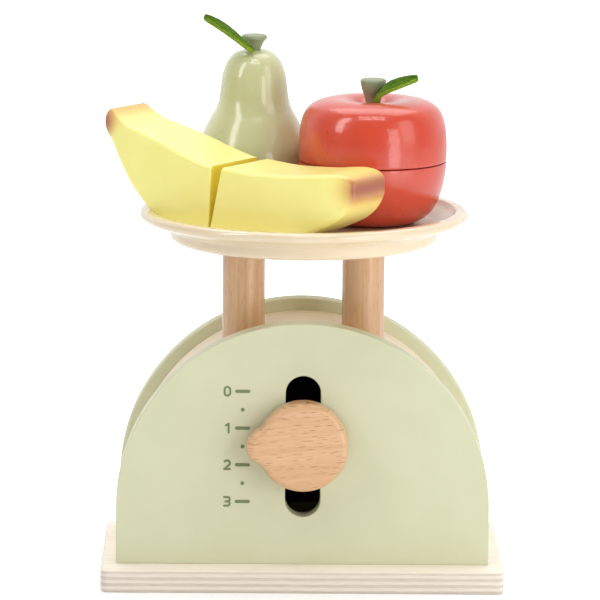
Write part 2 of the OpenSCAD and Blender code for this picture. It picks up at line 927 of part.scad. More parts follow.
// Seat of a hook or loop disc on a cut face that leans by lean, out along side
module at_cut(lean, side) {
    translate([0, banana_t / 2, 0])
        rotate([0, lean, 0])
            translate([0, 0, banana_disc_share * banana_h])
                rotate([0, side * 90, 0])
                    children();
}

module banana_left() {
    color([0.95, 0.90, 0.52])
        at_banana()
            difference() {
                banana_half(banana_left_shares, cut_lean_left);
                at_cut(cut_lean_left, 1)
                    translate([0, 0, disc_proud - disc_t])
                        cylinder(r = disc_r + glue_gap, h = disc_t);
            }
}

module banana_right() {
    color([0.95, 0.90, 0.52])
        at_banana()
            translate([2 * disc_proud, 0, 0])
                difference() {
                    banana_half(banana_right_shares, cut_lean);
                    at_cut(cut_lean, -1)
                        translate([0, 0, disc_proud - disc_t])
                            cylinder(r = disc_r + glue_gap, h = disc_t);
                }
}

module banana_loop_disc() {
    color([0.93, 0.90, 0.72])
        at_banana()
            at_cut(cut_lean_left, 1)
                translate([0, 0, disc_proud - disc_t])
                    cylinder(r = disc_r, h = disc_t);
}

module banana_hook_disc() {
    color([0.90, 0.87, 0.70])
        at_banana()
            translate([2 * disc_proud, 0, 0])
                at_cut(cut_lean, -1)
                    translate([0, 0, disc_proud - disc_t])
                        cylinder(r = disc_r, h = disc_t);
}

base_board();
front_panel();
rear_panel();
arch_band();
base_screws();
spring_pegs();
left_spring();
right_spring();
dial_marks();
slide_block();
left_post();
right_post();
post_screws();
tray();
tray_screws();
knob();
knob_shaft();
shaft_screw();
apple_lower();
apple_upper();
apple_stem();
apple_leaf();
apple_hook_disc();
apple_loop_disc();
pear_body();
pear_stem();
pear_leaf();
banana_left();
banana_right();
banana_hook_disc();
banana_loop_disc();
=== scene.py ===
import math

import bmesh
import bpy
from mathutils import Matrix, Vector


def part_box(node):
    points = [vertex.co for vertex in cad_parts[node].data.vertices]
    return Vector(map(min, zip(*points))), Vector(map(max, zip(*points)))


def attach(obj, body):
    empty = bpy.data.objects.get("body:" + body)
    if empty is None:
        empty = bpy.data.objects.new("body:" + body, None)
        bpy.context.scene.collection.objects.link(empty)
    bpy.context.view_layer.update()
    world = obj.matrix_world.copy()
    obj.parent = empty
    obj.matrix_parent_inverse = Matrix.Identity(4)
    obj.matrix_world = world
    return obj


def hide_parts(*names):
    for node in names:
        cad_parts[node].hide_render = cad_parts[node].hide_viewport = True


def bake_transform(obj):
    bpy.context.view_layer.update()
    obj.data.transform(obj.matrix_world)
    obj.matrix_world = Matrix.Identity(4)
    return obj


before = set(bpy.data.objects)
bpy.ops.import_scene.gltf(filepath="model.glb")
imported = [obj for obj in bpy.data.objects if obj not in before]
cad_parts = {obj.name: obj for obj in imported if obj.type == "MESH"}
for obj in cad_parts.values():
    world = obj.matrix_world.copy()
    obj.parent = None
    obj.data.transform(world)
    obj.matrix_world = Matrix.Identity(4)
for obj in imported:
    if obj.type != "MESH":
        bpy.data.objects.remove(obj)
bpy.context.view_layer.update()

# Camera
# The photograph's viewpoint: a long lens two metres in front of the dial and a little
# above it, fitted to the base board, the two arches and the tray.
eye = (-0.01724, -2.06265, 0.47279)
camera_yaw = 0.0077
camera_pitch = 0.1741
camera_roll = 0.0076
focal_px = 5214.1
photo_px = 600
sensor_mm = 36

bpy.ops.object.select_all(action="DESELECT")
bpy.ops.object.camera_add()
camera = bpy.context.object
camera.name = "camera"
camera.matrix_world = (Matrix.Translation(eye) @ Matrix.Rotation(-camera_yaw, 4, "Z")
                       @ Matrix.Rotation(math.pi / 2 - camera_pitch, 4, "X")
                       @ Matrix.Rotation(camera_roll, 4, "Z"))
camera.data.sensor_width = sensor_mm
camera.data.lens = sensor_mm * focal_px / photo_px
camera.data.clip_start = 0.1
camera.data.clip_end = 20
bpy.context.scene.camera = camera
bpy.context.scene.view_settings.view_transform = "Standard"

# Base board
# A rectangle of nine millimetre birch plywood with rounded corners and softened edges.
# It is whitewashed under a matt lacquer, shows its seven plies all round, and is drilled
# and countersunk from below for the four screws that hold the arch panels.
base_low, base_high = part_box("base_board")
base_corner_r = 0.003
base_edge_r = 0.0013
ply_count = 7
screw_low, screw_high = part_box("base_screws")
screw_head_r = 0.0035
screw_head_h = 0.002
screw_r = 0.0018
base_screw_x = screw_high.x - screw_head_r
base_screw_y = screw_high.y - screw_head_r
screw_sink = screw_low.z
drill_past = 1.1
# The room round a screw or a glued peg, and the least distance that tells two places apart
glue_gap = 0.00005
hair = 0.00001


def new_piece(name):
    """Fix the new object's place, turn and size in its mesh, and name it."""
    bpy.ops.object.transform_apply()
    piece = bpy.context.object
    piece.name = name
    piece.data.name = name
    return piece


def hold(piece):
    """Select one piece alone and make it the active one."""
    bpy.ops.object.select_all(action="DESELECT")
    piece.select_set(True)
    bpy.context.view_layer.objects.active = piece


def start_shaping(piece):
    """Take a piece into edit mode."""
    hold(piece)
    bpy.ops.object.mode_set(mode="EDIT")


def pick_all():
    """In edit mode, select the whole mesh."""
    bpy.ops.mesh.select_all(action="SELECT")


def face_outwards():
    """In edit mode, turn every face outwards."""
    pick_all()
    bpy.ops.mesh.normals_make_consistent(inside=False)


def stop_shaping():
    """Leave edit mode."""
    bpy.ops.object.mode_set(mode="OBJECT")


def pick(piece, kind, wanted):
    """In edit mode, select only the faces, edges or vertices that wanted() accepts."""
    bpy.ops.mesh.select_mode(type={"faces": "FACE", "edges": "EDGE", "verts": "VERT"}[kind])
    bpy.ops.mesh.select_all(action="DESELECT")
    mesh = bmesh.from_edit_mesh(piece.data)
    for part in getattr(mesh, kind):
        if wanted(part):
            part.select_set(True)
    mesh.select_flush_mode()
    bmesh.update_edit_mesh(piece.data)


def saw(place, across, **choices):
    """In edit mode, cut the whole mesh along a plane."""
    pick_all()
    bpy.ops.mesh.bisect(plane_co=place, plane_no=across, threshold=hair / 10, **choices)


def pull(step):
    """In edit mode, extrude what is selected by a step."""
    bpy.ops.mesh.extrude_region_move(TRANSFORM_OT_translate={"value": step})


def apply_modifier(piece, kind, **settings):
    """Add a modifier with its settings and apply it."""
    bpy.context.view_layer.objects.active = piece
    modifier = piece.modifiers.new(kind.lower(), kind)
    for name, value in settings.items():
        setattr(modifier, name, value)
    bpy.ops.object.modifier_apply(modifier=modifier.name)


def cut_away(piece, cutter):
    """Cut one closed shape out of a piece, and delete the shape that cut it."""
    apply_modifier(piece, "BOOLEAN", operation="DIFFERENCE", solver="EXACT", object=cutter)
    bpy.data.objects.remove(cutter)


def weigh_normals(piece):
    """Let a piece's wide faces shade flat beside its rounded edges."""
    apply_modifier(piece, "WEIGHTED_NORMAL", keep_sharp=True, weight=80)


def soften(piece, width, segments=3):
    """Round a piece's sharp edges, with flat faces that still shade flat."""
    apply_modifier(piece, "BEVEL", width=width, segments=segments, limit_method="ANGLE",
                   angle_limit=math.radians(40), use_clamp_overlap=True)
    for face in piece.data.polygons:
        face.use_smooth = True
    weigh_normals(piece)


def trace(name, points):
    """Draw a line of edges from point to point, as a new mesh in edit mode."""
    bpy.ops.object.select_all(action="DESELECT")
    bpy.ops.mesh.primitive_plane_add(size=0.001, location=points[0])
    piece = new_piece(name)
    start_shaping(piece)
    pick_all()
    bpy.ops.mesh.merge(type="CENTER")
    bpy.ops.mesh.select_mode(type="VERT")
    pick_all()
    for here, there in zip(points, points[1:]):
        pull(Vector(there) - Vector(here))
    return piece


def turn(name, outline, centre, steps):
    """Turn a half outline of (radius, height) pairs on an upright lathe at centre."""
    piece = trace(name, [centre + Vector((r, 0, z)) for r, z in outline])
    pick_all()
    bpy.ops.mesh.spin(steps=steps, angle=math.tau, center=centre, axis=(0, 0, 1))
    pick_all()
    bpy.ops.mesh.remove_doubles(threshold=hair / 2)
    face_outwards()
    stop_shaping()
    return piece


def screw_hole(centre, depth, upwards=1):
    """Make the shape that drills and countersinks one screw hole from its mouth."""
    outside = -4 * screw_sink
    side = glue_gap + screw_head_r
    shank = glue_gap + screw_r
    outline = [(0, outside), (side, outside), (side, screw_sink),
               (shank, screw_sink + screw_head_h), (shank, depth), (0, depth)]
    return turn("screw_hole", [(r, z * upwards) for r, z in outline], centre, 32)


bpy.ops.object.select_all(action="DESELECT")
bpy.ops.mesh.primitive_cube_add(size=1, location=(base_low + base_high) / 2)
bpy.context.object.scale = base_high - base_low
base = new_piece("base_board_piece")
start_shaping(base)
pick(base, "edges", lambda e: abs(e.verts[0].co.z - e.verts[1].co.z) > base_edge_r)
bpy.ops.mesh.bevel(offset=base_corner_r, segments=6, affect="EDGES")
stop_shaping()
soften(base, base_edge_r)
for side_x in (-1, 1):
    for side_y in (-1, 1):
        mouth = Vector((side_x * base_screw_x, side_y * base_screw_y, 0))
        cut_away(base, screw_hole(mouth, base_high.z * drill_past))


def seen(red, green, blue):
    """Linear colour of a finish, from its 0 to 255 screen values."""
    def linear(value):
        share = value / 255
        return share / 12.92 if share <= 0.04045 else ((share + 0.055) / 1.055) ** 2.4
    return (linear(red), linear(green), linear(blue), 1)


def add_node(tree, kind, inputs=None, **options):
    """Add a shader node with its options, input values and links."""
    node = tree.nodes.new(kind)
    for name, value in options.items():
        setattr(node, name, value)
    for name, value in (inputs or {}).items():
        if isinstance(value, bpy.types.NodeSocket):
            tree.links.new(value, node.inputs[name])
        else:
            node.inputs[name].default_value = value
    return node


def calculate(tree, operation, first, second=0.0):
    """Join two values with a math node."""
    return add_node(tree, "ShaderNodeMath", {0: first, 1: second}, operation=operation).outputs[0]


def on_vectors(tree, operation, first, second=(0, 0, 0)):
    """Join two vectors, or measure them by a length, a distance or a dot product."""
    node = add_node(tree, "ShaderNodeVectorMath", {0: first, 1: second}, operation=operation)
    return node.outputs[int(operation in ("LENGTH", "DISTANCE", "DOT_PRODUCT"))]


def part_of(tree, vector, axis):
    """Take the X, Y or Z of a vector."""
    return add_node(tree, "ShaderNodeSeparateXYZ", {0: vector}).outputs[axis]


def mix_colours(tree, amount, first, second):
    """Mix two colours by an amount from 0 to 1."""
    node = add_node(tree, "ShaderNodeMix", {0: amount, 6: first, 7: second}, data_type="RGBA")
    return node.outputs[2]


def fade(tree, value, start, end, low=0.0, high=1.0):
    """Turn a value that runs from start to end into one that runs from low to high."""
    return add_node(tree, "ShaderNodeMapRange", {
        "Value": value, "From Min": start, "From Max": end, "To Min": low,
        "To Max": high}, interpolation_type="SMOOTHSTEP").outputs[0]


def stretched_noise(tree, vector, size, detail=3.0, roughness=0.55):
    """Noise whose spots measure size, a length along each axis."""
    return add_node(tree, "ShaderNodeTexNoise", {
        "Vector": on_vectors(tree, "DIVIDE", vector, size), "Scale": 1.0, "Detail": detail,
        "Roughness": roughness}).outputs[0]


def new_group(name, inputs, outputs):
    """Start a shader node group with named inputs, each with its value, and outputs."""
    group = bpy.data.node_groups.new(name, "ShaderNodeTree")
    group.interface.new_socket("Vector", in_out="INPUT", socket_type="NodeSocketVector")
    for label, value in inputs.items():
        group.interface.new_socket(
            label, in_out="INPUT", socket_type="NodeSocketFloat").default_value = value
    for label in outputs:
        group.interface.new_socket(label, in_out="OUTPUT", socket_type="NodeSocketFloat")
    start = group.nodes.new("NodeGroupInput").outputs
    end = group.nodes.new("NodeGroupOutput").inputs
    return group, start, end


# Grain runs along X of the vector: long streaks, fine pores, and the short dark flecks
# that sawn beech shows.
streak_l = 0.06
pore_size = (0.007, 0.0003, 0.0003)
fleck_cell_h = 0.004
fleck_shape = (1, 0.3, 2.3)
grain, start, end = new_group(
    "wood_grain", {"Streak Width": 0.002, "Fleck Length": 0.0055, "Fleck Width": 0.0014},
    ("Streaks", "Pores", "Flecks", "Height"))
streak_size = add_node(grain, "ShaderNodeCombineXYZ", {
    0: streak_l, 1: start["Streak Width"], 2: start["Streak Width"]}).outputs[0]
cell_size = add_node(grain, "ShaderNodeCombineXYZ", {
    0: start["Fleck Length"], 1: fleck_cell_h, 2: start["Fleck Width"]}).outputs[0]
streaks = stretched_noise(grain, start["Vector"], streak_size)
pores = fade(grain, stretched_noise(grain, start["Vector"], pore_size, 2.0), 0.5, 0.72)
in_cells = on_vectors(grain, "DIVIDE", start["Vector"], cell_size)
cells = add_node(grain, "ShaderNodeTexVoronoi", {"Vector": in_cells, "Scale": 1.0})
fleck_here = fade(grain, add_node(grain, "ShaderNodeTexWhiteNoise", {
    "Vector": cells.outputs["Color"]}).outputs["Value"], 0.2, 0.7)
from_middle = on_vectors(grain, "SUBTRACT", in_cells, cells.outputs["Position"])
from_middle = on_vectors(grain, "MULTIPLY", from_middle, fleck_shape)
from_middle = on_vectors(grain, "LENGTH", from_middle)
flecks = calculate(grain, "MULTIPLY", fade(grain, from_middle, 0.14, 0.32, 1.0, 0.0),
                   fleck_here)
dips = calculate(grain, "MULTIPLY", calculate(grain, "ADD", pores, flecks), 0.5)
for label, value in (("Streaks", streaks), ("Pores", pores), ("Flecks", flecks),
                     ("Height", calculate(grain, "SUBTRACT", 1.0, dips))):
    grain.links.new(value, end[label])


def new_material(name, roughness, **sockets):
    """Start a material and set its shader's plain values."""
    material = bpy.data.materials.new(name)
    material.use_nodes = True
    tree = material.node_tree
    shader = tree.nodes["Principled BSDF"]
    shader.inputs["Roughness"].default_value = roughness
    for label, value in sockets.items():
        shader.inputs[label.replace("_", " ")].default_value = value
    return material, tree, shader


def turned_by(tree, spot, angles):
    """Turn a vector with a mapping node."""
    return add_node(tree, "ShaderNodeMapping", {"Vector": spot, "Rotation": angles}).outputs[0]


def place_of(tree, along="X"):
    """Object coordinates, turned so that wood grain lies along X, Y or Z."""
    spot = add_node(tree, "ShaderNodeTexCoord").outputs["Object"]
    turns = {"X": (0, 0, 0), "Y": (0, 0, math.pi / 2), "Z": (0, math.pi / 2, 0)}
    return turned_by(tree, spot, turns[along])


def wood_colour(tree, spot, pale, deep, pore, pore_share, sizes, fleck_share=0.0, full=0.7):
    """Colour and height of wood: streaks from pale to deep, and darker pores and flecks."""
    marks = add_node(tree, "ShaderNodeGroup", {"Vector": spot, **sizes}, node_tree=grain).outputs
    colour = mix_colours(tree, fade(tree, marks["Streaks"], 0.3, full), pale, deep)
    for mark, share in (("Pores", pore_share), ("Flecks", fleck_share)):
        colour = mix_colours(tree, calculate(tree, "MULTIPLY", marks[mark], share), colour, pore)
    return colour, marks["Height"]


def lay_on(tree, shader, colour, height, depth, strength=0.5):
    """Give a shader its colour, and raise a height on it, in shares of depth."""
    tree.links.new(colour, shader.inputs["Base Color"])
    bump = add_node(tree, "ShaderNodeBump", {"Strength": strength, "Distance": depth,
                                             "Height": height}).outputs[0]
    tree.links.new(bump, shader.inputs["Normal"])
    tree.links.new(bump, shader.inputs["Coat Normal"])


def whitewashed_plywood():
    """Birch plywood: pale veneer on its faces, and seven plies along its edges."""
    material, tree, shader = new_material("whitewashed_plywood", 0.55)
    spot = place_of(tree)
    veneer, veneer_height = wood_colour(
        tree, spot, seen(250, 243, 229), seen(245, 235, 218), seen(222, 203, 172), 0.35,
        {"Streak Width": 0.004})
    ply = calculate(tree, "MULTIPLY", part_of(tree, spot, "Z"), ply_count / base_high.z)
    wander = stretched_noise(tree, spot, (0.02, 0.02, 0.004), 2.0)
    ply = calculate(tree, "ADD", ply, fade(tree, wander, 0.2, 0.8, -0.14, 0.14))
    pale_ply = calculate(tree, "PINGPONG", calculate(tree, "SUBTRACT", ply, 0.5), 1.0)
    pale_ply = fade(tree, pale_ply, 0.38, 0.62)
    threads = stretched_noise(tree, spot, (0.006, 0.006, 0.0003), 3.0, 0.7)
    thread = fade(tree, threads, 0.35, 0.7)
    light_ply = mix_colours(tree, thread, seen(240, 230, 218), seen(232, 221, 207))
    end_ply = mix_colours(tree, thread, seen(224, 211, 197), seen(210, 196, 180))
    edge = mix_colours(tree, pale_ply, end_ply, light_ply)
    facing = part_of(tree, add_node(tree, "ShaderNodeNewGeometry").outputs["Normal"], "Z")
    on_face = fade(tree, calculate(tree, "ABSOLUTE", facing), 0.5, 0.8)
    lay_on(tree, shader, mix_colours(tree, on_face, edge, veneer),
           mix_colours(tree, on_face, threads, veneer_height), 0.0001)
    return material


# A dark brown colour is painted on the inside of the housing as painted shade, which keeps it black
# behind the slot.
painted_shade_stain, tree, shader = new_material("painted_shade_inside", 0.7)
colour, height = wood_colour(tree, place_of(tree), seen(74, 55, 42), seen(58, 43, 33),
                             seen(58, 43, 33), 0.0, {})
lay_on(tree, shader, colour, height, 0.0001)
panel_low, panel_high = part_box("front_panel")
rear_low, rear_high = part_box("rear_panel")
band_low, band_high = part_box("arch_band")
band_t = 0.008
inside_x = band_high.x - band_t
arch_z = band_high.z - band_high.x
shade_past = 0.0002


def paint_shade_inside(piece, facing):
    """Paint the faces that look into the housing dark brown, as painted shade."""
    piece.data.materials.append(painted_shade_stain)
    for face in piece.data.polygons:
        corners = [piece.data.vertices[i].co for i in face.vertices]
        reach = max(math.hypot(spot.x, max(spot.z - arch_z, 0)) for spot in corners)
        if reach < inside_x + shade_past and facing(face):
            face.material_index = 1


base.data.materials.append(whitewashed_plywood())
start_shaping(base)
for place, across in (((inside_x, 0, 0), (1, 0, 0)), ((-inside_x, 0, 0), (1, 0, 0)),
                      ((0, panel_high.y, 0), (0, 1, 0)), ((0, rear_low.y, 0), (0, 1, 0))):
    saw(place, across)
stop_shaping()
# The base's top inside the housing is painted dark brown as painted shade.
paint_shade_inside(base, lambda f: f.normal.z > 0.9 and panel_high.y < f.center.y < rear_low.y)
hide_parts("base_board")
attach(base, "housing")

# Arch panels
# Two nine millimetre fibreboard arches on straight sides, sprayed satin sage green, with
# every edge rounded. The front one is milled through for the pointer's slot. Both stand on
# the base board, screwed from below.
panel_edge_r = 0.0011
slot_w = 0.014
slot_len = 0.057
slot_mid_z = base_high.z + 0.0478
lying = (math.pi / 2, 0, 0)


def start_rod(name, centre, radius, length, turned=(0, 0, 0), sides=96, ends="NGON"):
    """Add a round rod about its centre, upright unless it is turned."""
    bpy.ops.object.select_all(action="DESELECT")
    bpy.ops.mesh.primitive_cylinder_add(vertices=sides, radius=radius, depth=length,
                                        rotation=turned, location=centre, end_fill_type=ends)
    return new_piece(name)


def start_arch(name, low, high, closed=True):
    """Stand a half disc on straight sides between two corners, as a new mesh."""
    spring_z = high.z - high.x
    piece = start_rod(name, (0, (low.y + high.y) / 2, spring_z), high.x, high.y - low.y, lying,
                      256, "NGON" if closed else "NOTHING")
    start_shaping(piece)
    saw((0, 0, spring_z), (0, 0, 1), clear_inner=True, use_fill=closed)
    pick(piece, "edges", lambda e: all(abs(v.co.z - spring_z) < hair for v in e.verts))
    if closed:
        pick(piece, "faces", lambda f: f.normal.z < -0.9)
    pull((0, 0, low.z - spring_z))
    stop_shaping()
    return piece


# A sprayed film: a soft mottle, and the fine orange peel that gloss shows up.
paint_film, start, end = new_group("paint_film", {"Peel Size": 0.0012}, ("Mottle", "Height"))
peel_size = add_node(paint_film, "ShaderNodeCombineXYZ", {
    axis: start["Peel Size"] for axis in range(3)}).outputs[0]
paint_film.links.new(stretched_noise(paint_film, start["Vector"], (0.02, 0.02, 0.02), 2.0),
                     end["Mottle"])
paint_film.links.new(stretched_noise(paint_film, start["Vector"], peel_size, 1.0), end["Height"])


def film_on(tree, spot, peel, colour, shadow):
    """Mottle, colour and height of a sprayed film between two near shades."""
    film = add_node(tree, "ShaderNodeGroup", {"Vector": spot, "Peel Size": peel},
                    node_tree=paint_film).outputs
    mottle = fade(tree, film["Mottle"], 0.3, 0.7)
    return mottle, mix_colours(tree, mottle, colour, shadow), film["Height"]


def sprayed(name, colour, shadow, roughness, peel=0.0012, depth=0.00003, **sockets):
    """Sprayed paint or coloured lacquer, a little rougher in its darker mottles."""
    material, tree, shader = new_material(name, roughness, **sockets)
    mottle, colour, height = film_on(tree, place_of(tree), peel, colour, shadow)
    rough = calculate(tree, "ADD", roughness - 0.03, calculate(tree, "MULTIPLY", mottle, 0.06))
    tree.links.new(rough, shader.inputs["Roughness"])
    lay_on(tree, shader, colour, height, depth)
    return material


def lying_at(axis, place):
    """A test for faces whose middle is at a place along an axis."""
    return lambda face: abs(face.calc_center_median()[axis] - place) < hair


sage_paint = sprayed("sage_paint", seen(213, 214, 181), seen(210, 211, 177), 0.42)
front = start_arch("front_panel_piece", panel_low, panel_high)
rear = start_arch("rear_panel_piece", rear_low, rear_high)
for panel, inner_y in ((front, panel_high.y), (rear, rear_low.y)):
    start_shaping(panel)
    pick(panel, "faces", lying_at(1, inner_y))
    bpy.ops.mesh.inset(thickness=panel_high.x - inside_x)
    stop_shaping()
panel_t = panel_high.y - panel_low.y
slot_cutter = start_rod("slot_cutter", (0, panel_low.y + panel_t / 2, slot_mid_z), slot_w / 2,
                        3 * panel_t, lying)
start_shaping(slot_cutter)
for side in (-1, 1):
    pick(slot_cutter, "verts", lambda v: (v.co.z - slot_mid_z) * side > hair)
    bpy.ops.transform.translate(value=(0, 0, side * (slot_len - slot_w) / 2))
stop_shaping()
cut_away(front, slot_cutter)
# Each panel is rounded and sprayed, and its inside face is painted dark brown as painted shade.
for panel, way in ((front, 1), (rear, -1)):
    soften(panel, panel_edge_r, 4)
    panel.data.materials.append(sage_paint)
    paint_shade_inside(panel, lambda f: f.normal.y * way > 0.9)
    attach(panel, "housing")
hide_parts("front_panel")
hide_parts("rear_panel")

# Arch band
# Thin plywood bent over a former and glued between the panels, a little under their edge.
# Its outside is clear lacquered veneer with the grain along the bend, and its top is
# bored for the two posts.
post_low, post_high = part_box("left_post")
post_r = (post_high.x - post_low.x) / 2
post_x = -(post_high.x + post_low.x) / 2
post_clear = 0.0005
bore_edge_r = 0.0004


def lacquered_band():
    """Warm birch veneer whose grain follows the bend, round the arch's own axis."""
    material, tree, shader = new_material("lacquered_band", 0.5, Coat_Weight=0.15)
    spot = add_node(tree, "ShaderNodeTexCoord").outputs["Object"]
    rise = calculate(tree, "SUBTRACT", part_of(tree, spot, "Z"), arch_z)
    bend = calculate(tree, "ARCTAN2", part_of(tree, spot, "X"), rise)
    along = calculate(tree, "MULTIPLY", bend, band_high.x)
    path = add_node(tree, "ShaderNodeCombineXYZ", {0: along, 1: part_of(tree, spot, "Y")})
    colour, height = wood_colour(
        tree, path.outputs[0], seen(254, 246, 226), seen(247, 231, 203), seen(190, 160, 120), 0.4,
        {"Streak Width": 0.003}, full=0.72)
    lay_on(tree, shader, colour, height, 0.0001)
    return material


band = start_arch("arch_band_piece", band_low, band_high, closed=False)
apply_modifier(band, "SOLIDIFY", thickness=band_t, offset=-1, use_even_offset=True)
start_shaping(band)
face_outwards()
stop_shaping()
for side in (-1, 1):
    cut_away(band, start_rod("post_bore", (side * post_x, 0, band_high.z), post_r + post_clear,
                             band_high.x))
soften(band, bore_edge_r, 2)
band.data.materials.append(lacquered_band())
# The band's inside face is painted dark brown as painted shade.
paint_shade_inside(band, lambda f: abs(f.normal.y) < 0.5)
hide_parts("arch_band")
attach(band, "housing")

# Screws
# Countersunk and pan head wood screws, zinc plated: four up through the base board, two
# down through the tray, two through the slide block into the posts and one into the shaft.


def plated_steel(name, roughness, shade):
    """Bright metal with fine drawn scratches."""
    material, tree, shader = new_material(name, roughness, Metallic=1.0)
    scratches = stretched_noise(tree, place_of(tree), (0.002, 0.0001, 0.002), 2.0)
    colour = mix_colours(tree, fade(tree, scratches, 0.3, 0.7), seen(shade, shade, shade - 4),
                         seen(shade - 26, shade - 25, shade - 28))
    tree.links.new(fade(tree, scratches, 0.3, 0.7, roughness - 0.06, roughness + 0.08),
                   shader.inputs["Roughness"])
    lay_on(tree, shader, colour, scratches, 0.00002)
    return material


def dress(node, material):
    """Give a kept node its finish."""
    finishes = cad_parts[node].data.materials
    finishes.clear()
    finishes.append(material)


screw_steel = plated_steel("screw_steel", 0.34, 205)
for screws in ("base_screws", "post_screws", "tray_screws", "shaft_screw"):
    dress(screws, screw_steel)

# Springs and pegs
# Two coils of bright spring wire stand on the base board round beech pegs, and carry the
# slide block.
wire_r = 0.0006
spring_turns = 7
wire_sides = 12
spring_steps = 40 * spring_turns
spring_low, spring_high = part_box("left_spring")
coil_r = (spring_high.x - spring_low.x) / 2 - wire_r
block_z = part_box("slide_block")[0].z
spring_steel = plated_steel("spring_steel", 0.25, 215)


def smooth_faces(piece, angle):
    """Shade a piece smooth, apart from the edges sharper than an angle in degrees."""
    hold(piece)
    bpy.ops.object.shade_smooth_by_angle(angle=math.radians(angle))


def copy_aside(piece, name, step):
    """Copy a finished piece with its own mesh, and move the copy by a step along X."""
    hold(piece)
    bpy.ops.object.duplicate()
    bpy.ops.transform.translate(value=(step, 0, 0))
    return new_piece(name)


bpy.ops.object.select_all(action="DESELECT")
bpy.ops.mesh.primitive_circle_add(vertices=wire_sides, radius=wire_r, location=(coil_r, 0, 0),
                                  rotation=lying)
left_spring = new_piece("left_spring_coil")
apply_modifier(left_spring, "SCREW", axis="Z", angle=math.tau * spring_turns,
               steps=spring_steps, render_steps=spring_steps, use_merge_vertices=False,
               screw_offset=block_z - base_high.z - 2 * wire_r)
start_shaping(left_spring)
bpy.ops.mesh.select_mode(type="EDGE")
bpy.ops.mesh.select_all(action="DESELECT")
bpy.ops.mesh.select_non_manifold()
bpy.ops.mesh.fill()
pick_all()
bpy.ops.transform.translate(value=(-post_x, 0, base_high.z + wire_r))
face_outwards()
stop_shaping()
smooth_faces(left_spring, 50)
left_spring.data.materials.append(spring_steel)
right_spring = copy_aside(left_spring, "right_spring_coil", 2 * post_x)
for spring, node, foot_x in ((left_spring, "left_spring", -post_x),
                             (right_spring, "right_spring", post_x)):
    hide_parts(node)
    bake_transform(spring)


def beech(name, along, pale, deep, fleck, fleck_share, roughness, coat,
          fleck_size=(0.0055, 0.0014), turn_by=0.0, coat_roughness=0.3):
    """Lacquered beech: pink brown streaks, fine pores and short dark flecks."""
    material, tree, shader = new_material(name, roughness, Coat_Weight=coat,
                                          Coat_Roughness=coat_roughness)
    spot = turned_by(tree, place_of(tree, along), (0, turn_by, 0))
    colour, height = wood_colour(
        tree, spot, pale, deep, fleck, 0.25,
        {"Fleck Length": fleck_size[0], "Fleck Width": fleck_size[1]}, fleck_share)
    lay_on(tree, shader, colour, height, 0.00008)
    return material


plain_beech = (seen(226, 190, 146), seen(208, 168, 122), seen(165, 120, 78), 0.6)
dress("spring_pegs", beech("bare_beech", "Z", *plain_beech, 0.6, 0.0))

# Dial marks
# Ticks, dots and the figures 0 to 3, screen printed on the front panel in a matt green
# deeper than the paint.
dress("dial_marks", sprayed("dial_ink", seen(124, 135, 93), seen(116, 127, 85), 0.6, 0.0006))

# Slide block and shaft
# The block rides on the springs inside the housing, painted the same dark brown as the inside,
# as painted shade. A beech dowel is glued into it and reaches out through the slot to the knob.
dress("slide_block", painted_shade_stain)
dress("knob_shaft", beech("shaft_beech", "Y", *plain_beech, 0.5, 0.1))

# Posts
# Two seventeen millimetre beech dowels, clear lacquered, with chamfered ends drilled for
# their screws. They stand on the slide block and carry the tray.
post_chamfer = 0.0006
post_bite = 0.0165
post_beech = beech("post_beech", "Z", seen(216, 176, 134), seen(202, 158, 114),
                   seen(168, 120, 78), 0.45, 0.42, 0.7, (0.006, 0.0012), coat_roughness=0.22)

left_post = start_rod("left_post_dowel", (-post_x, 0, (post_low.z + post_high.z) / 2),
                      post_r, post_high.z - post_low.z)
start_shaping(left_post)
for end_z in (-1, 1):
    pick(left_post, "faces", lambda f: f.normal.z * end_z > 0.9)
    bpy.ops.mesh.inset(thickness=post_r - screw_r - glue_gap)
    pull((0, 0, -end_z * post_bite))
stop_shaping()
soften(left_post, post_chamfer, 2)
left_post.data.materials.append(post_beech)
right_post = copy_aside(left_post, "right_post_dowel", 2 * post_x)
for post, node in ((left_post, "left_post"), (right_post, "right_post")):
    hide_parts(node)
    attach(post, "carriage")

# Tray
# A shallow dish turned from one disc of wood: a flat foot, a flared underside, a rolled
# rim and a sloping wall down to the floor. It is sprayed with glossy cream lacquer and
# countersunk for its two screws.
tray_low, tray_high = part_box("tray")
tray_r = min(tray_high.x, tray_high.y)
tray_h = tray_high.z - tray_low.z
tray_floor = 0.006
foot_r = 0.0535
foot_h = 0.0044
foot_edge_r = 0.0022
foot_hollow_r = 0.0016
rim_r = 0.002
lip_r = 0.0008
dish_r = tray_r - 0.005
floor_r = dish_r - 0.008
# The wall inside: steps in from the dish's edge and down from the rim, then steps out from
# the floor's edge and up from the floor
wall_steps = [(0.0006, 0.002), (0.0016, 0.0028)]
floor_steps = [(0.0034, 0.0022), (0.0017, 0.0008), (0.0006, 0.00015), (-0.001, 0)]


def arc(x, z, radius, first, last, steps):
    """Points on an arc round (x, z), from one angle in degrees to another."""
    angles = [math.radians(first + (last - first) * i / steps) for i in range(steps + 1)]
    return [(x + radius * math.cos(a), z + radius * math.sin(a)) for a in angles]


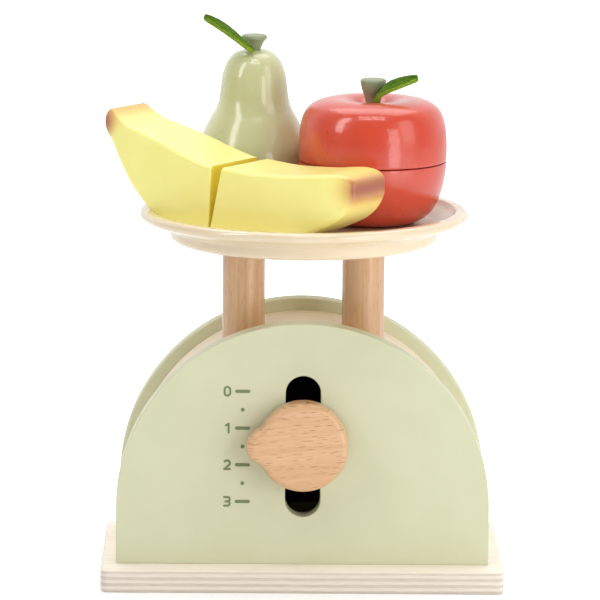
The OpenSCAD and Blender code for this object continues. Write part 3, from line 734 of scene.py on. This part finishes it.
tray_line = [(0, 0), (foot_r * 0.5, 0)]
tray_line += arc(foot_r - foot_edge_r, foot_edge_r, foot_edge_r, -90, 0, 6)
tray_line += arc(foot_r + foot_hollow_r, foot_h - foot_hollow_r / 4, foot_hollow_r, 180, 113, 4)
tray_line += arc(tray_r - rim_r, tray_h - rim_r, rim_r, -67, 90, 14)
tray_line += arc(dish_r + lip_r, tray_h - lip_r, lip_r, 90, 160, 4)
tray_line += [(dish_r - step, tray_h - down) for step, down in wall_steps]
tray_line += [(floor_r + step, tray_floor + up) for step, up in floor_steps]
tray_line += [(floor_r * 0.5, tray_floor), (0, tray_floor)]
tray = turn("tray_dish", tray_line, Vector((0, 0, tray_low.z)), 192)
tray_screw_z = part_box("tray_screws")[1].z
for side in (-1, 1):
    mouth = Vector((side * post_x, 0, tray_screw_z + screw_sink))
    cut_away(tray, screw_hole(mouth, tray_h, upwards=-1))
smooth_faces(tray, 35)
tray.data.materials.append(sprayed(
    "cream_lacquer", seen(233, 215, 184), seen(229, 210, 178), 0.22, 0.0016, 0.00005,
    Coat_Weight=0.6, Coat_Roughness=0.07))
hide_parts("tray")
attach(tray, "carriage")

# Pointer knob
# A disc of beech cut across the board, with a blunt nose to the left that soft hollows
# join to the round. All edges are rounded over, and a socket in its back takes the shaft.
knob_low, knob_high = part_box("knob")
knob_r = knob_high.x
knob_z = (knob_low.z + knob_high.z) / 2
nose_r = 0.0069
nose_x = knob_low.x + nose_r
hollow_r = 0.006
knob_front_r = 0.0027
knob_back_r = 0.0009
knob_socket = 0.006

reach_knob = knob_r + hollow_r
reach_nose = nose_r + hollow_r
hollow_x = (reach_knob ** 2 - reach_nose ** 2 + nose_x ** 2) / (2 * nose_x)
hollow_z = math.sqrt(reach_knob ** 2 - hollow_x ** 2)
knob_turn = math.degrees(math.atan2(hollow_z, hollow_x))
nose_turn = math.degrees(math.atan2(hollow_z, hollow_x - nose_x))
knob_line = arc(0, 0, knob_r, -knob_turn, knob_turn, 96)
knob_line += arc(hollow_x, hollow_z, hollow_r, knob_turn - 180, nose_turn - 180, 8)[1:-1]
knob_line += arc(nose_x, 0, nose_r, nose_turn, 360 - nose_turn, 28)
knob_line += arc(hollow_x, -hollow_z, hollow_r, 180 - nose_turn, 180 - knob_turn, 8)[1:-1]


def round_rim(piece, on_face, radius, segments):
    """In edit mode, round the rim of the faces that on_face() accepts."""
    pick(piece, "faces", on_face)
    bpy.ops.mesh.region_to_loop()
    bpy.ops.mesh.bevel(offset=radius, segments=segments, affect="EDGES")


knob = trace("pointer_knob", [Vector((x, knob_high.y, knob_z + z)) for x, z in knob_line])
pick_all()
bpy.ops.mesh.edge_face_add()
pull((0, knob_low.y - knob_high.y, 0))
face_outwards()
round_rim(knob, lying_at(1, knob_low.y), knob_front_r, 6)
round_rim(knob, lying_at(1, knob_high.y), knob_back_r, 3)
stop_shaping()
cut_away(knob, start_rod("shaft_socket", (0, knob_high.y, knob_z),
                         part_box("knob_shaft")[1].x + glue_gap, 2 * knob_socket, lying, 64))
smooth_faces(knob, 40)
weigh_normals(knob)
knob.data.materials.append(beech(
    "knob_beech", "X", seen(224, 180, 135), seen(215, 168, 122), seen(165, 112, 72), 0.95,
    0.4, 0.7, (0.0068, 0.0012), math.radians(5), 0.2))
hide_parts("knob")
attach(knob, "carriage")

# Apple
# Turned from one block and cut in half, sprayed glossy red. Its two halves hold together
# by hook and loop discs let into the cut, and a hollow in the top takes the stem.
apple_low, apple_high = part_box("apple_lower")
apple_top_low, apple_top_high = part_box("apple_upper")
apple_foot = (apple_low + apple_high) / 2
apple_foot.z = apple_low.z
apple_r = max(apple_high.x - apple_low.x, apple_top_high.x - apple_top_low.x) / 2
apple_h = apple_top_high.z - apple_low.z
disc_low, disc_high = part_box("apple_loop_disc")
disc_r = (disc_high.x - disc_low.x) / 2 + glue_gap
cut_edge_r = 0.0004
stem_peg_r = 0.00265
stem_peg_l = 0.006
# Half outline, as shares of the radius and the height
apple_shares = [(0.0884, 0.915), (0.20, 0.945), (0.33, 0.985), (0.47, 1), (0.63, 0.995),
                (0.79, 0.965), (0.90, 0.91), (0.965, 0.82), (0.995, 0.70), (1, 0.56),
                (0.985, 0.40), (0.92, 0.23), (0.82, 0.11), (0.66, 0.03), (0.45, 0),
                (0.25, 0.02), (0, 0.035)]


def smooth_line(points, steps):
    """Smooth curve through points, with a number of steps between neighbours."""
    line = []
    last = len(points) - 1
    for i in range(last):
        a, b, c, d = (Vector(points[k]) for k in (max(i - 1, 0), i, i + 1, min(i + 2, last)))
        for k in range(steps):
            t = k / steps
            line.append((2 * b + (c - a) * t + (2 * a - 5 * b + 4 * c - d) * t * t
                         + (3 * b - a - 3 * c + d) * t * t * t) / 2)
    line.append(Vector(points[last]))
    return line


def turn_fruit(name, shares, radius, height, foot):
    """Turn a fruit from its half outline, with the hole for its stem's peg."""
    top = shares[0][1] * height
    skin = [(max(p.x, 0) * radius, max(p.y, 0) * height) for p in smooth_line(shares, 5)]
    skin[0] = (stem_peg_r, top)
    hole = [(0, top - stem_peg_l), (stem_peg_r, top - stem_peg_l)]
    return turn(name, hole + skin, foot, 144)


def finish_half(piece, cut_z, upper, recess):
    """Keep one side of a cut, let a disc's recess into the cut face and ease its rim."""
    start_shaping(piece)
    saw((0, 0, cut_z), (0, 0, 1), clear_inner=upper, clear_outer=not upper, use_fill=True)
    on_cut = lying_at(2, cut_z)
    round_rim(piece, on_cut, cut_edge_r, 3)
    pick(piece, "faces", on_cut)
    mesh = bmesh.from_edit_mesh(piece.data)
    cap = [f for f in mesh.faces if f.select][0]
    cap_r = (cap.verts[0].co - cap.calc_center_median()).length
    bpy.ops.mesh.inset(thickness=cap_r - disc_r)
    pull((0, 0, recess if upper else -recess))
    face_outwards()
    stop_shaping()
    smooth_faces(piece, 38)


red_lacquer = sprayed("red_lacquer", seen(212, 74, 50), seen(207, 68, 46), 0.3, 0.0016, 0.00011,
                      Coat_Weight=0.6, Coat_Roughness=0.09)
apple = turn_fruit("apple_bottom", apple_shares, apple_r, apple_h, apple_foot)
bpy.ops.object.duplicate()
apple_top_half = new_piece("apple_top")
for half, upper, cut_z in ((apple, False, apple_high.z), (apple_top_half, True, apple_top_low.z)):
    finish_half(half, cut_z, upper, disc_high.z - disc_low.z)
    half.data.materials.append(red_lacquer)
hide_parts("apple_lower")
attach(apple, "apple_bottom_half")
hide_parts("apple_upper")
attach(apple_top_half, "apple_top_half")

# Pear
# Turned in one piece with a long neck and a flat foot, sprayed glossy pale green, with its
# stem's hole in the top.
pear_low, pear_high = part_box("pear_body")
pear_foot = (pear_low + pear_high) / 2
pear_foot.z = pear_low.z
pear_r = (pear_high.x - pear_low.x) / 2
pear_h = pear_high.z - pear_low.z
# Half outline, as shares of the radius and the height
pear_shares = [(0.1123, 1), (0.24, 0.993), (0.36, 0.97), (0.46, 0.925), (0.525, 0.865),
               (0.553, 0.81), (0.573, 0.75), (0.60, 0.69), (0.655, 0.635), (0.75, 0.575),
               (0.87, 0.49), (0.965, 0.41), (1, 0.32), (0.985, 0.24), (0.88, 0.13),
               (0.70, 0.035), (0.50, 0), (0.25, 0), (0, 0)]
pear = turn_fruit("pear", pear_shares, pear_r, pear_h, pear_foot)
smooth_faces(pear, 38)
pear.data.materials.append(sprayed(
    "pear_lacquer", seen(206, 207, 160), seen(201, 201, 153), 0.25, 0.0016, 0.00007,
    Coat_Weight=0.65, Coat_Roughness=0.12))
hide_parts("pear_body")
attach(pear, "pear")

# Stems
# Short dowels turned to a flare at the top and glued into the fruit by a peg, sprayed a
# dull grey green.
stem_r = 0.0051
flare = stem_r - stem_peg_r
# The neck, as shares of the flare and of the height above the fruit, and the rounded top,
# as shares of the flare, in from its edge and down from its top
neck_shares = [(0.12, 0.22), (0.35, 0.42), (0.75, 0.66)]
top_shares = [(0, 0.6), (0, 0.3), (0.1, 0.1), (0.3, 0)]
stem_paint = sprayed("stem_paint", seen(153, 163, 130), seen(142, 152, 117), 0.5, 0.001, 0.00005)
for node, body in (("apple_stem", "apple_top_half"), ("pear_stem", "pear")):
    stem_low, stem_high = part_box(node)
    seat = (stem_low + stem_high) / 2
    seat.z = stem_low.z + stem_peg_l
    stand = stem_high.z - seat.z
    neck = [(stem_peg_r - glue_gap, stand / 12)]
    neck += [(stem_peg_r + flare * out, stand * up) for out, up in neck_shares]
    neck += [(stem_r - flare * inwards, stand - flare * down) for inwards, down in top_shares]
    line = [(0, -stem_peg_l), (stem_peg_r - glue_gap, -stem_peg_l)]
    line += [(p.x, p.y) for p in smooth_line(neck, 4)] + [(0, stand)]
    stem = turn(node + "_dowel", line, seat, 64)
    smooth_faces(stem, 50)
    stem.data.materials.append(stem_paint)
    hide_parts(node)
    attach(stem, body)

# Leaves
# Strips of two millimetre pressed wool felt, cut to a leaf and glued by the root in front
# of the stems. They are green right through, with a soft fibrous edge; their underside and
# edges are painted lighter and yellower than the top, as painted light.
leaf_t = 0.002
leaf_w = 0.0084
leaf_columns = 14
leaf_rows = 4
leaf_cup = 0.0009
leaf_edge_r = 0.0005
leaf_fuzz = 0.00012
leaf_root_angle = 18
leaf_span_angle = 146
leaf_forward = stem_r * 1.45
# Finished columns wait this far aside, where the next picks don't reach them
aside = 100
# Side views, root to tip, as shares of the reach and the rise
apple_leaf_shares = [(0.03, 0), (0.12, 0.27), (0.28, 0.56), (0.53, 0.76), (0.78, 0.90), (1, 1)]
pear_leaf_shares = [(0.03, -0.08), (0.20, 0.14), (0.38, 0.38), (0.57, 0.61), (0.78, 0.82), (1, 1)]


def pressed_felt():
    """Wool felt: matted fibres, with the underside and edge painted lighter, as painted light."""
    material, tree, shader = new_material("pressed_felt", 0.95, Sheen_Weight=0.03,
                                          Sheen_Roughness=0.6, Specular_IOR_Level=0.15)
    spot = place_of(tree)
    fibres = stretched_noise(tree, spot, (0.0012, 0.0004, 0.0004), 4.0, 0.7)
    clumps = stretched_noise(tree, spot, (0.003, 0.003, 0.003), 2.0)
    facing = part_of(tree, add_node(tree, "ShaderNodeNewGeometry").outputs["Normal"], "Z")
    fibre = fade(tree, fibres, 0.3, 0.7)
    top = mix_colours(tree, fibre, seen(88, 126, 22), seen(58, 94, 8))
    # The underside and edges are painted lighter and yellower than the top, as painted light.
    lit_underside = mix_colours(tree, fibre, seen(158, 188, 62), seen(124, 160, 38))
    colour = mix_colours(tree, fade(tree, facing, -0.35, 0.3), lit_underside, top)
    colour = mix_colours(tree, fade(tree, clumps, 0.45, 0.8, 0.0, 0.35), colour, seen(120, 155, 50))
    lay_on(tree, shader, colour, fibres, 0.0004, 0.8)
    return material


green_felt = pressed_felt()
for fruit, body, shares, reach, rise, way, lift, twist in (
        ("apple", "apple_top_half", apple_leaf_shares, 0.0176, 0.010, 1, 1.8, -18),
        ("pear", "pear", pear_leaf_shares, 0.020, 0.0125, -1, 0.7, -26)):
    stem_low, stem_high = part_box(fruit + "_stem")
    root_x = (stem_low.x + stem_high.x) / 2
    root_y = (stem_low.y + stem_high.y) / 2 - leaf_forward
    root_z = stem_low.z + stem_peg_l + leaf_t * lift
    line = smooth_line([(x * reach, z * rise) for x, z in shares], 4)
    bpy.ops.object.select_all(action="DESELECT")
    bpy.ops.mesh.primitive_grid_add(x_subdivisions=leaf_columns, y_subdivisions=leaf_rows, size=2)
    leaf = new_piece(fruit + "_leaf_felt")
    start_shaping(leaf)
    for column in range(leaf_columns + 1):
        share = column / leaf_columns
        at = share * (len(line) - 1)
        here = min(int(at), len(line) - 2)
        spot = line[here].lerp(line[here + 1], at - here)
        slope = line[here + 1] - line[here]
        half_w = leaf_w / 2 * math.sin(math.radians(leaf_root_angle + leaf_span_angle * share))
        grid_x = 2 * share - 1
        pick(leaf, "verts", lambda v: abs(v.co.x - grid_x) < 0.001)
        bpy.ops.transform.resize(value=(1, half_w, 1), center_override=(grid_x, 0, 0))
        pick(leaf, "verts", lambda v: abs(v.co.x - grid_x) < 0.001
             and abs(v.co.y) < 0.0001 + half_w * 0.1)
        bpy.ops.transform.translate(value=(0, 0, -leaf_cup * half_w / (leaf_w / 2)))
        pick(leaf, "verts", lambda v: abs(v.co.x - grid_x) < 0.001)
        bpy.ops.transform.rotate(value=math.radians(twist), orient_axis="X",
                                 center_override=(grid_x, 0, 0))
        bpy.ops.transform.rotate(value=-way * math.atan2(slope.y, slope.x), orient_axis="Y",
                                 center_override=(grid_x, 0, 0))
        bpy.ops.transform.translate(value=(
            -grid_x + root_x + way * spot.x + way * aside, root_y, root_z + spot.y))
    pick_all()
    bpy.ops.transform.translate(value=(-way * aside, 0, 0))
    face_outwards()
    stop_shaping()
    apply_modifier(leaf, "SOLIDIFY", thickness=leaf_t, offset=0)
    apply_modifier(leaf, "BEVEL", width=leaf_edge_r, segments=2, limit_method="ANGLE")
    apply_modifier(leaf, "SUBSURF", levels=2, render_levels=2)
    start_shaping(leaf)
    face_outwards()
    bpy.ops.transform.vertex_random(offset=leaf_fuzz, seed=3, uniform=0.2, normal=0.8)
    stop_shaping()
    smooth_faces(leaf, 60)
    leaf.data.materials.append(green_felt)
    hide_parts(fruit + "_leaf")
    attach(leaf, body)

# Banana
# Band sawn from a thick board in two halves, thinned towards its tips and sanded round on
# every long edge, then sprayed satin yellow with brown airbrushed over the tips. The cut
# faces stay square, and hold a hook disc and a loop disc.
banana_turn = math.radians(35)
banana_t = 0.0325
banana_l = 0.067
banana_h = 0.0456
banana_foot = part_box("banana_left")[0].z
banana_cut = Vector((-0.01745, -0.04181, 0))
banana_over = 0.008
banana_edge_r = 0.0017
banana_rim_r = 0.0005
cut_lean = math.radians(12.5)
cut_lean_left = math.radians(3)
disc_proud = 0.0002
disc_t = 0.0012
banana_disc_share = 0.30
# Stations from the cut to the tip: shares of the length, of the height of the underside
# and of the top, and of the thickness
banana_left_shares = [(0, 0, 0.60, 1), (-0.143, 0, 0.655, 1), (-0.313, 0.025, 0.735, 0.98),
                      (-0.425, 0.12, 0.785, 0.94), (-0.56, 0.30, 0.84, 0.90),
                      (-0.627, 0.415, 0.866, 0.86), (-0.70, 0.57, 0.925, 0.80),
                      (-0.757, 0.70, 0.985, 0.74), (-0.79, 0.75, 0.975, 0.70),
                      (-0.812, 0.79, 0.945, 0.67), (-0.828, 0.84, 0.90, 0.64)]
banana_right_shares = [(0, 0, 0.603, 1), (0.172, 0, 0.583, 1), (0.336, 0, 0.568, 1),
                       (0.515, 0.008, 0.578, 0.98), (0.642, 0.055, 0.59, 0.95),
                       (0.731, 0.108, 0.608, 0.92), (0.836, 0.18, 0.622, 0.86),
                       (0.918, 0.27, 0.613, 0.78), (0.968, 0.36, 0.588, 0.71),
                       (0.993, 0.43, 0.55, 0.65)]
# Airbrushed spots: side, tip's shares of the length and height, radius, strength, colour,
# how far they reach round from the tip's end, and their strength on the faces beyond
tip_orange = seen(240, 166, 80)
tip_brown = seen(164, 86, 60)
tip_sprays = [(-1, 0.812, 0.96, 0.0130, 0.95, tip_orange, -0.5, 1.0),
              (1, 0.99, 0.50, 0.0130, 0.85, tip_orange, -0.5, 0.0),
              (-1, 0.828, 0.865, 0.0092, 1.0, tip_brown, 0.0, 1.0),
              (1, 0.99, 0.50, 0.0084, 1.0, tip_brown, -0.1, 0.0)]
seat_banana = (Matrix.Translation((0, 0, banana_foot)) @ Matrix.Rotation(-banana_turn, 4, "Z")
               @ Matrix.Translation(banana_cut))


def sawn_body(name, shares, side):
    """Saw a half's side view out of the board, round its long edges and thin it to the tip."""
    stations = [Vector((-side * banana_over / banana_l,) + shares[0][1:])]
    stations += smooth_line(shares, 3)
    underside = [Vector((p[0] * banana_l, 0, max(p[1], 0) * banana_h)) for p in stations]
    top = [Vector((p[0] * banana_l, 0, p[2] * banana_h)) for p in stations]
    body = trace(name, underside + top[::-1])
    pick_all()
    bpy.ops.mesh.edge_face_add()
    pull((0, banana_t, 0))
    face_outwards()
    for face_y in (0, banana_t):
        round_rim(body, lying_at(1, face_y), banana_edge_r, 6)
    for station in stations[2:-1:2]:
        saw((station[0] * banana_l, 0, 0), (1, 0, 0))
    mesh = bmesh.from_edit_mesh(body.data)
    for vert in mesh.verts:
        beyond = [p for p in stations if side * p[0] * banana_l >= side * vert.co.x - hair / 10]
        far = beyond[0] if beyond else stations[-1]
        near = stations[max(stations.index(far) - 1, 0)]
        share = (vert.co.x / banana_l - near[0]) / (far[0] - near[0]) if far != near else 0
        thickness = near[3] + (far[3] - near[3]) * share
        vert.co.y = banana_t / 2 + (vert.co.y - banana_t / 2) * thickness
    bmesh.update_edit_mesh(body.data)
    stop_shaping()
    return body


def banana_lacquer():
    """Satin yellow with a soft mottle, brown and orange airbrushed over the tips, and painted shade
    on the cut faces.
    """
    material, tree, shader = new_material("banana_lacquer", 0.34, Coat_Weight=0.3,
                                          Coat_Roughness=0.16)
    spot = place_of(tree)
    colour, height = film_on(tree, spot, 0.0015, seen(255, 248, 152), seen(252, 244, 143))[1:]
    facing = add_node(tree, "ShaderNodeNewGeometry").outputs["Normal"]
    lengthways, across = (seat_banana.to_3x3() @ Vector(way) for way in ((1, 0, 0), (0, 1, 0)))
    from_cut = on_vectors(tree, "SUBTRACT", spot, seat_banana.translation)
    from_cut = calculate(tree, "ABSOLUTE", on_vectors(tree, "DOT_PRODUCT", from_cut, lengthways))
    end_facing = on_vectors(tree, "DOT_PRODUCT", facing, lengthways)
    # Near the cut, the cut faces are painted a darker golden yellow as painted shade in the gap
    # between the halves.
    painted_cut_shade = calculate(tree, "MULTIPLY",
                         fade(tree, calculate(tree, "ABSOLUTE", end_facing), 0.85, 0.95),
                         fade(tree, from_cut, 0.012, 0.014, 0.8, 0.0))
    colour = mix_colours(tree, painted_cut_shade, colour, seen(246, 226, 74))
    for side, tip_share, tip_z_share, radius, strength, tint, turned, beyond in tip_sprays:
        tip = seat_banana @ Vector((side * tip_share * banana_l, 0, tip_z_share * banana_h))
        offset = on_vectors(tree, "SUBTRACT", spot, tip)
        sideways = add_node(tree, "ShaderNodeVectorMath", {
            0: across, "Scale": on_vectors(tree, "DOT_PRODUCT", offset, across)},
            operation="SCALE").outputs[0]
        reach = on_vectors(tree, "DISTANCE", offset, sideways)
        tip_facing = calculate(tree, "MULTIPLY", end_facing, side)
        spray = calculate(tree, "MULTIPLY", fade(tree, reach, 0.0, radius, strength, 0.0),
                          fade(tree, tip_facing, turned, 0.75, beyond, 1.0))
        colour = mix_colours(tree, spray, colour, tint)
    lay_on(tree, shader, colour, height, 0.00003)
    return material


yellow_lacquer = banana_lacquer()
for node, shares, side, lean, shift in (
        ("banana_left", banana_left_shares, -1, cut_lean_left, 0),
        ("banana_right", banana_right_shares, 1, cut_lean, 2 * disc_proud)):
    half = sawn_body(node + "_half", shares, side)
    start_shaping(half)
    cut_mid = Vector((shift, 0, 0))
    across = Vector((math.cos(lean), 0, -math.sin(lean)))
    saw(cut_mid, across, clear_inner=side > 0, clear_outer=side < 0, use_fill=True)
    round_rim(half, lambda f: abs((f.calc_center_median() - cut_mid).dot(across)) < hair,
              banana_rim_r, 3)
    face_outwards()
    stop_shaping()
    disc_mid = cut_mid + Vector((0, banana_t / 2, 0)) + banana_disc_share * banana_h * Vector(
        (math.sin(lean), 0, math.cos(lean)))
    cut_away(half, start_rod("disc_recess", disc_mid, disc_r, 2 * (disc_t - disc_proud),
                             (0, math.pi / 2 + lean, 0)))
    half.matrix_world = seat_banana
    hold(half)
    bpy.ops.object.transform_apply()
    smooth_faces(half, 45)
    weigh_normals(half)
    half.data.materials.append(yellow_lacquer)
    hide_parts(node)
    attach(half, node + "_half")

# Hook and loop discs
# Round patches of woven tape glued into the cut faces: stiff hooks on one, soft loops on
# the other.


def woven_tape(name, colour, shadow, pitch):
    """Off white tape, bristled with rows of tiny hooks or loops, with painted shade in the hollows
    between them.
    """
    material, tree, shader = new_material(name, 0.85, Sheen_Weight=0.3)
    rows = add_node(tree, "ShaderNodeTexVoronoi", {
        "Vector": place_of(tree), "Scale": 1 / pitch, "Randomness": 0.45}).outputs["Distance"]
    lay_on(tree, shader, mix_colours(tree, fade(tree, rows, 0.1, 0.6), colour, shadow),
           calculate(tree, "SUBTRACT", 1.0, rows), 0.0004, 0.9)
    return material


hook_tape = woven_tape("hook_tape", seen(238, 234, 220), seen(196, 190, 172), 0.0009)
loop_tape = woven_tape("loop_tape", seen(240, 237, 226), seen(212, 207, 192), 0.0005)
for fruit in ("apple", "banana"):
    dress(fruit + "_hook_disc", hook_tape)
    dress(fruit + "_loop_disc", loop_tape)

# Floor and light
# A white sweep under a plain studio: two tall soft boxes and a small low one at the right
# of the camera, a tall one at the left, a large one overhead behind two thin strips, a
# white wall behind and a dimmer room in front. Only the low box casts no reflection.
floor_size = 6
floor_white = (0.93, 0.93, 0.93, 1)
floor_mirrored = 0.35
glow_reach = 0.06
glow_near = 0.10
glow_far = 0.7
room_front = 0.18
room_back = 0.95


def seen_by_lens(tree, mirrored_share):
    """1 for what the camera sees, and a share for what a mirror or glass shows it."""
    rays = add_node(tree, "ShaderNodeLightPath").outputs
    mirrored = calculate(tree, "MAXIMUM", rays["Is Glossy Ray"], rays["Is Transmission Ray"])
    mirrored = calculate(tree, "MULTIPLY", mirrored, mirrored_share)
    return calculate(tree, "MAXIMUM", rays["Is Camera Ray"], mirrored)


bpy.ops.object.select_all(action="DESELECT")
bpy.ops.mesh.primitive_plane_add(size=floor_size)
floor = new_piece("floor")
floor_paper, tree, shader = new_material("floor_paper", 0.9, Specular_IOR_Level=0.0)
shader.inputs["Base Color"].default_value = floor_white
glow = add_node(tree, "ShaderNodeEmission", {"Color": (1, 1, 1, 1)})
away = add_node(tree, "ShaderNodeTexCoord").outputs["Object"]
for operation, by in (("ABSOLUTE", (0, 0, 0)), ("SUBTRACT", base_high), ("MAXIMUM", (0, 0, 0)),
                      ("LENGTH", (0, 0, 0))):
    away = on_vectors(tree, operation, away, by)
lift = fade(tree, away, 0.0, glow_reach, glow_near, glow_far)
tree.links.new(calculate(tree, "MULTIPLY", seen_by_lens(tree, floor_mirrored), lift),
               glow.inputs["Strength"])
both = add_node(tree, "ShaderNodeAddShader", {0: shader.outputs[0], 1: glow.outputs[0]})
tree.links.new(both.outputs[0], tree.nodes["Material Output"].inputs["Surface"])
floor.data.materials.append(floor_paper)


def soft_box(name, spot, target, width, height, power):
    """Hang a rectangular soft box at a spot, facing a target."""
    bpy.ops.object.light_add(type="AREA", location=spot)
    lamp = bpy.context.object
    lamp.name = name
    lamp.data.shape = "RECTANGLE"
    lamp.data.size = width
    lamp.data.size_y = height
    lamp.data.energy = power
    lamp.rotation_euler = (Vector(target) - Vector(spot)).to_track_quat("-Z", "Y").to_euler()
    return lamp


middle = (0, 0, 0.12)
soft_box("soft_box_key", (0.368, -0.53, 0.22), middle, 0.18, 0.43, 0.84)
soft_box("soft_box_right", (1.0, -0.62, 0.6), middle, 0.5, 0.9, 2.9)
side_box = soft_box("side_box", (0.62, -0.42, 0.10), (0, 0, 0.06), 0.22, 0.22, 0.75)
side_box.visible_glossy = False
soft_box("soft_box_left", (-0.77, -0.50, 0.80), middle, 0.24, 0.85, 3.8)
soft_box("soft_box_top", (0.05, 0.36, 1.15), middle, 1.1, 0.7, 5.2)
soft_box("front_strip", (0, -0.52, 1.1), middle, 0.6, 0.06, 1.4)
soft_box("high_strip", (0, -0.32, 1.2), middle, 0.6, 0.06, 1.4)

world = bpy.data.worlds.new("studio")
bpy.context.scene.world = world
world.use_nodes = True
sky = world.node_tree
background = sky.nodes["Background"].inputs
towards_back = part_of(sky, add_node(sky, "ShaderNodeTexCoord").outputs["Generated"], "Y")
room = fade(sky, towards_back, -0.3, 0.7, room_front, room_back)
white = seen_by_lens(sky, fade(sky, towards_back, 0.2, 0.7))
sky.links.new(calculate(sky, "MAXIMUM", room, white), background["Strength"])
background["Color"].default_value = (1, 1, 1, 1)
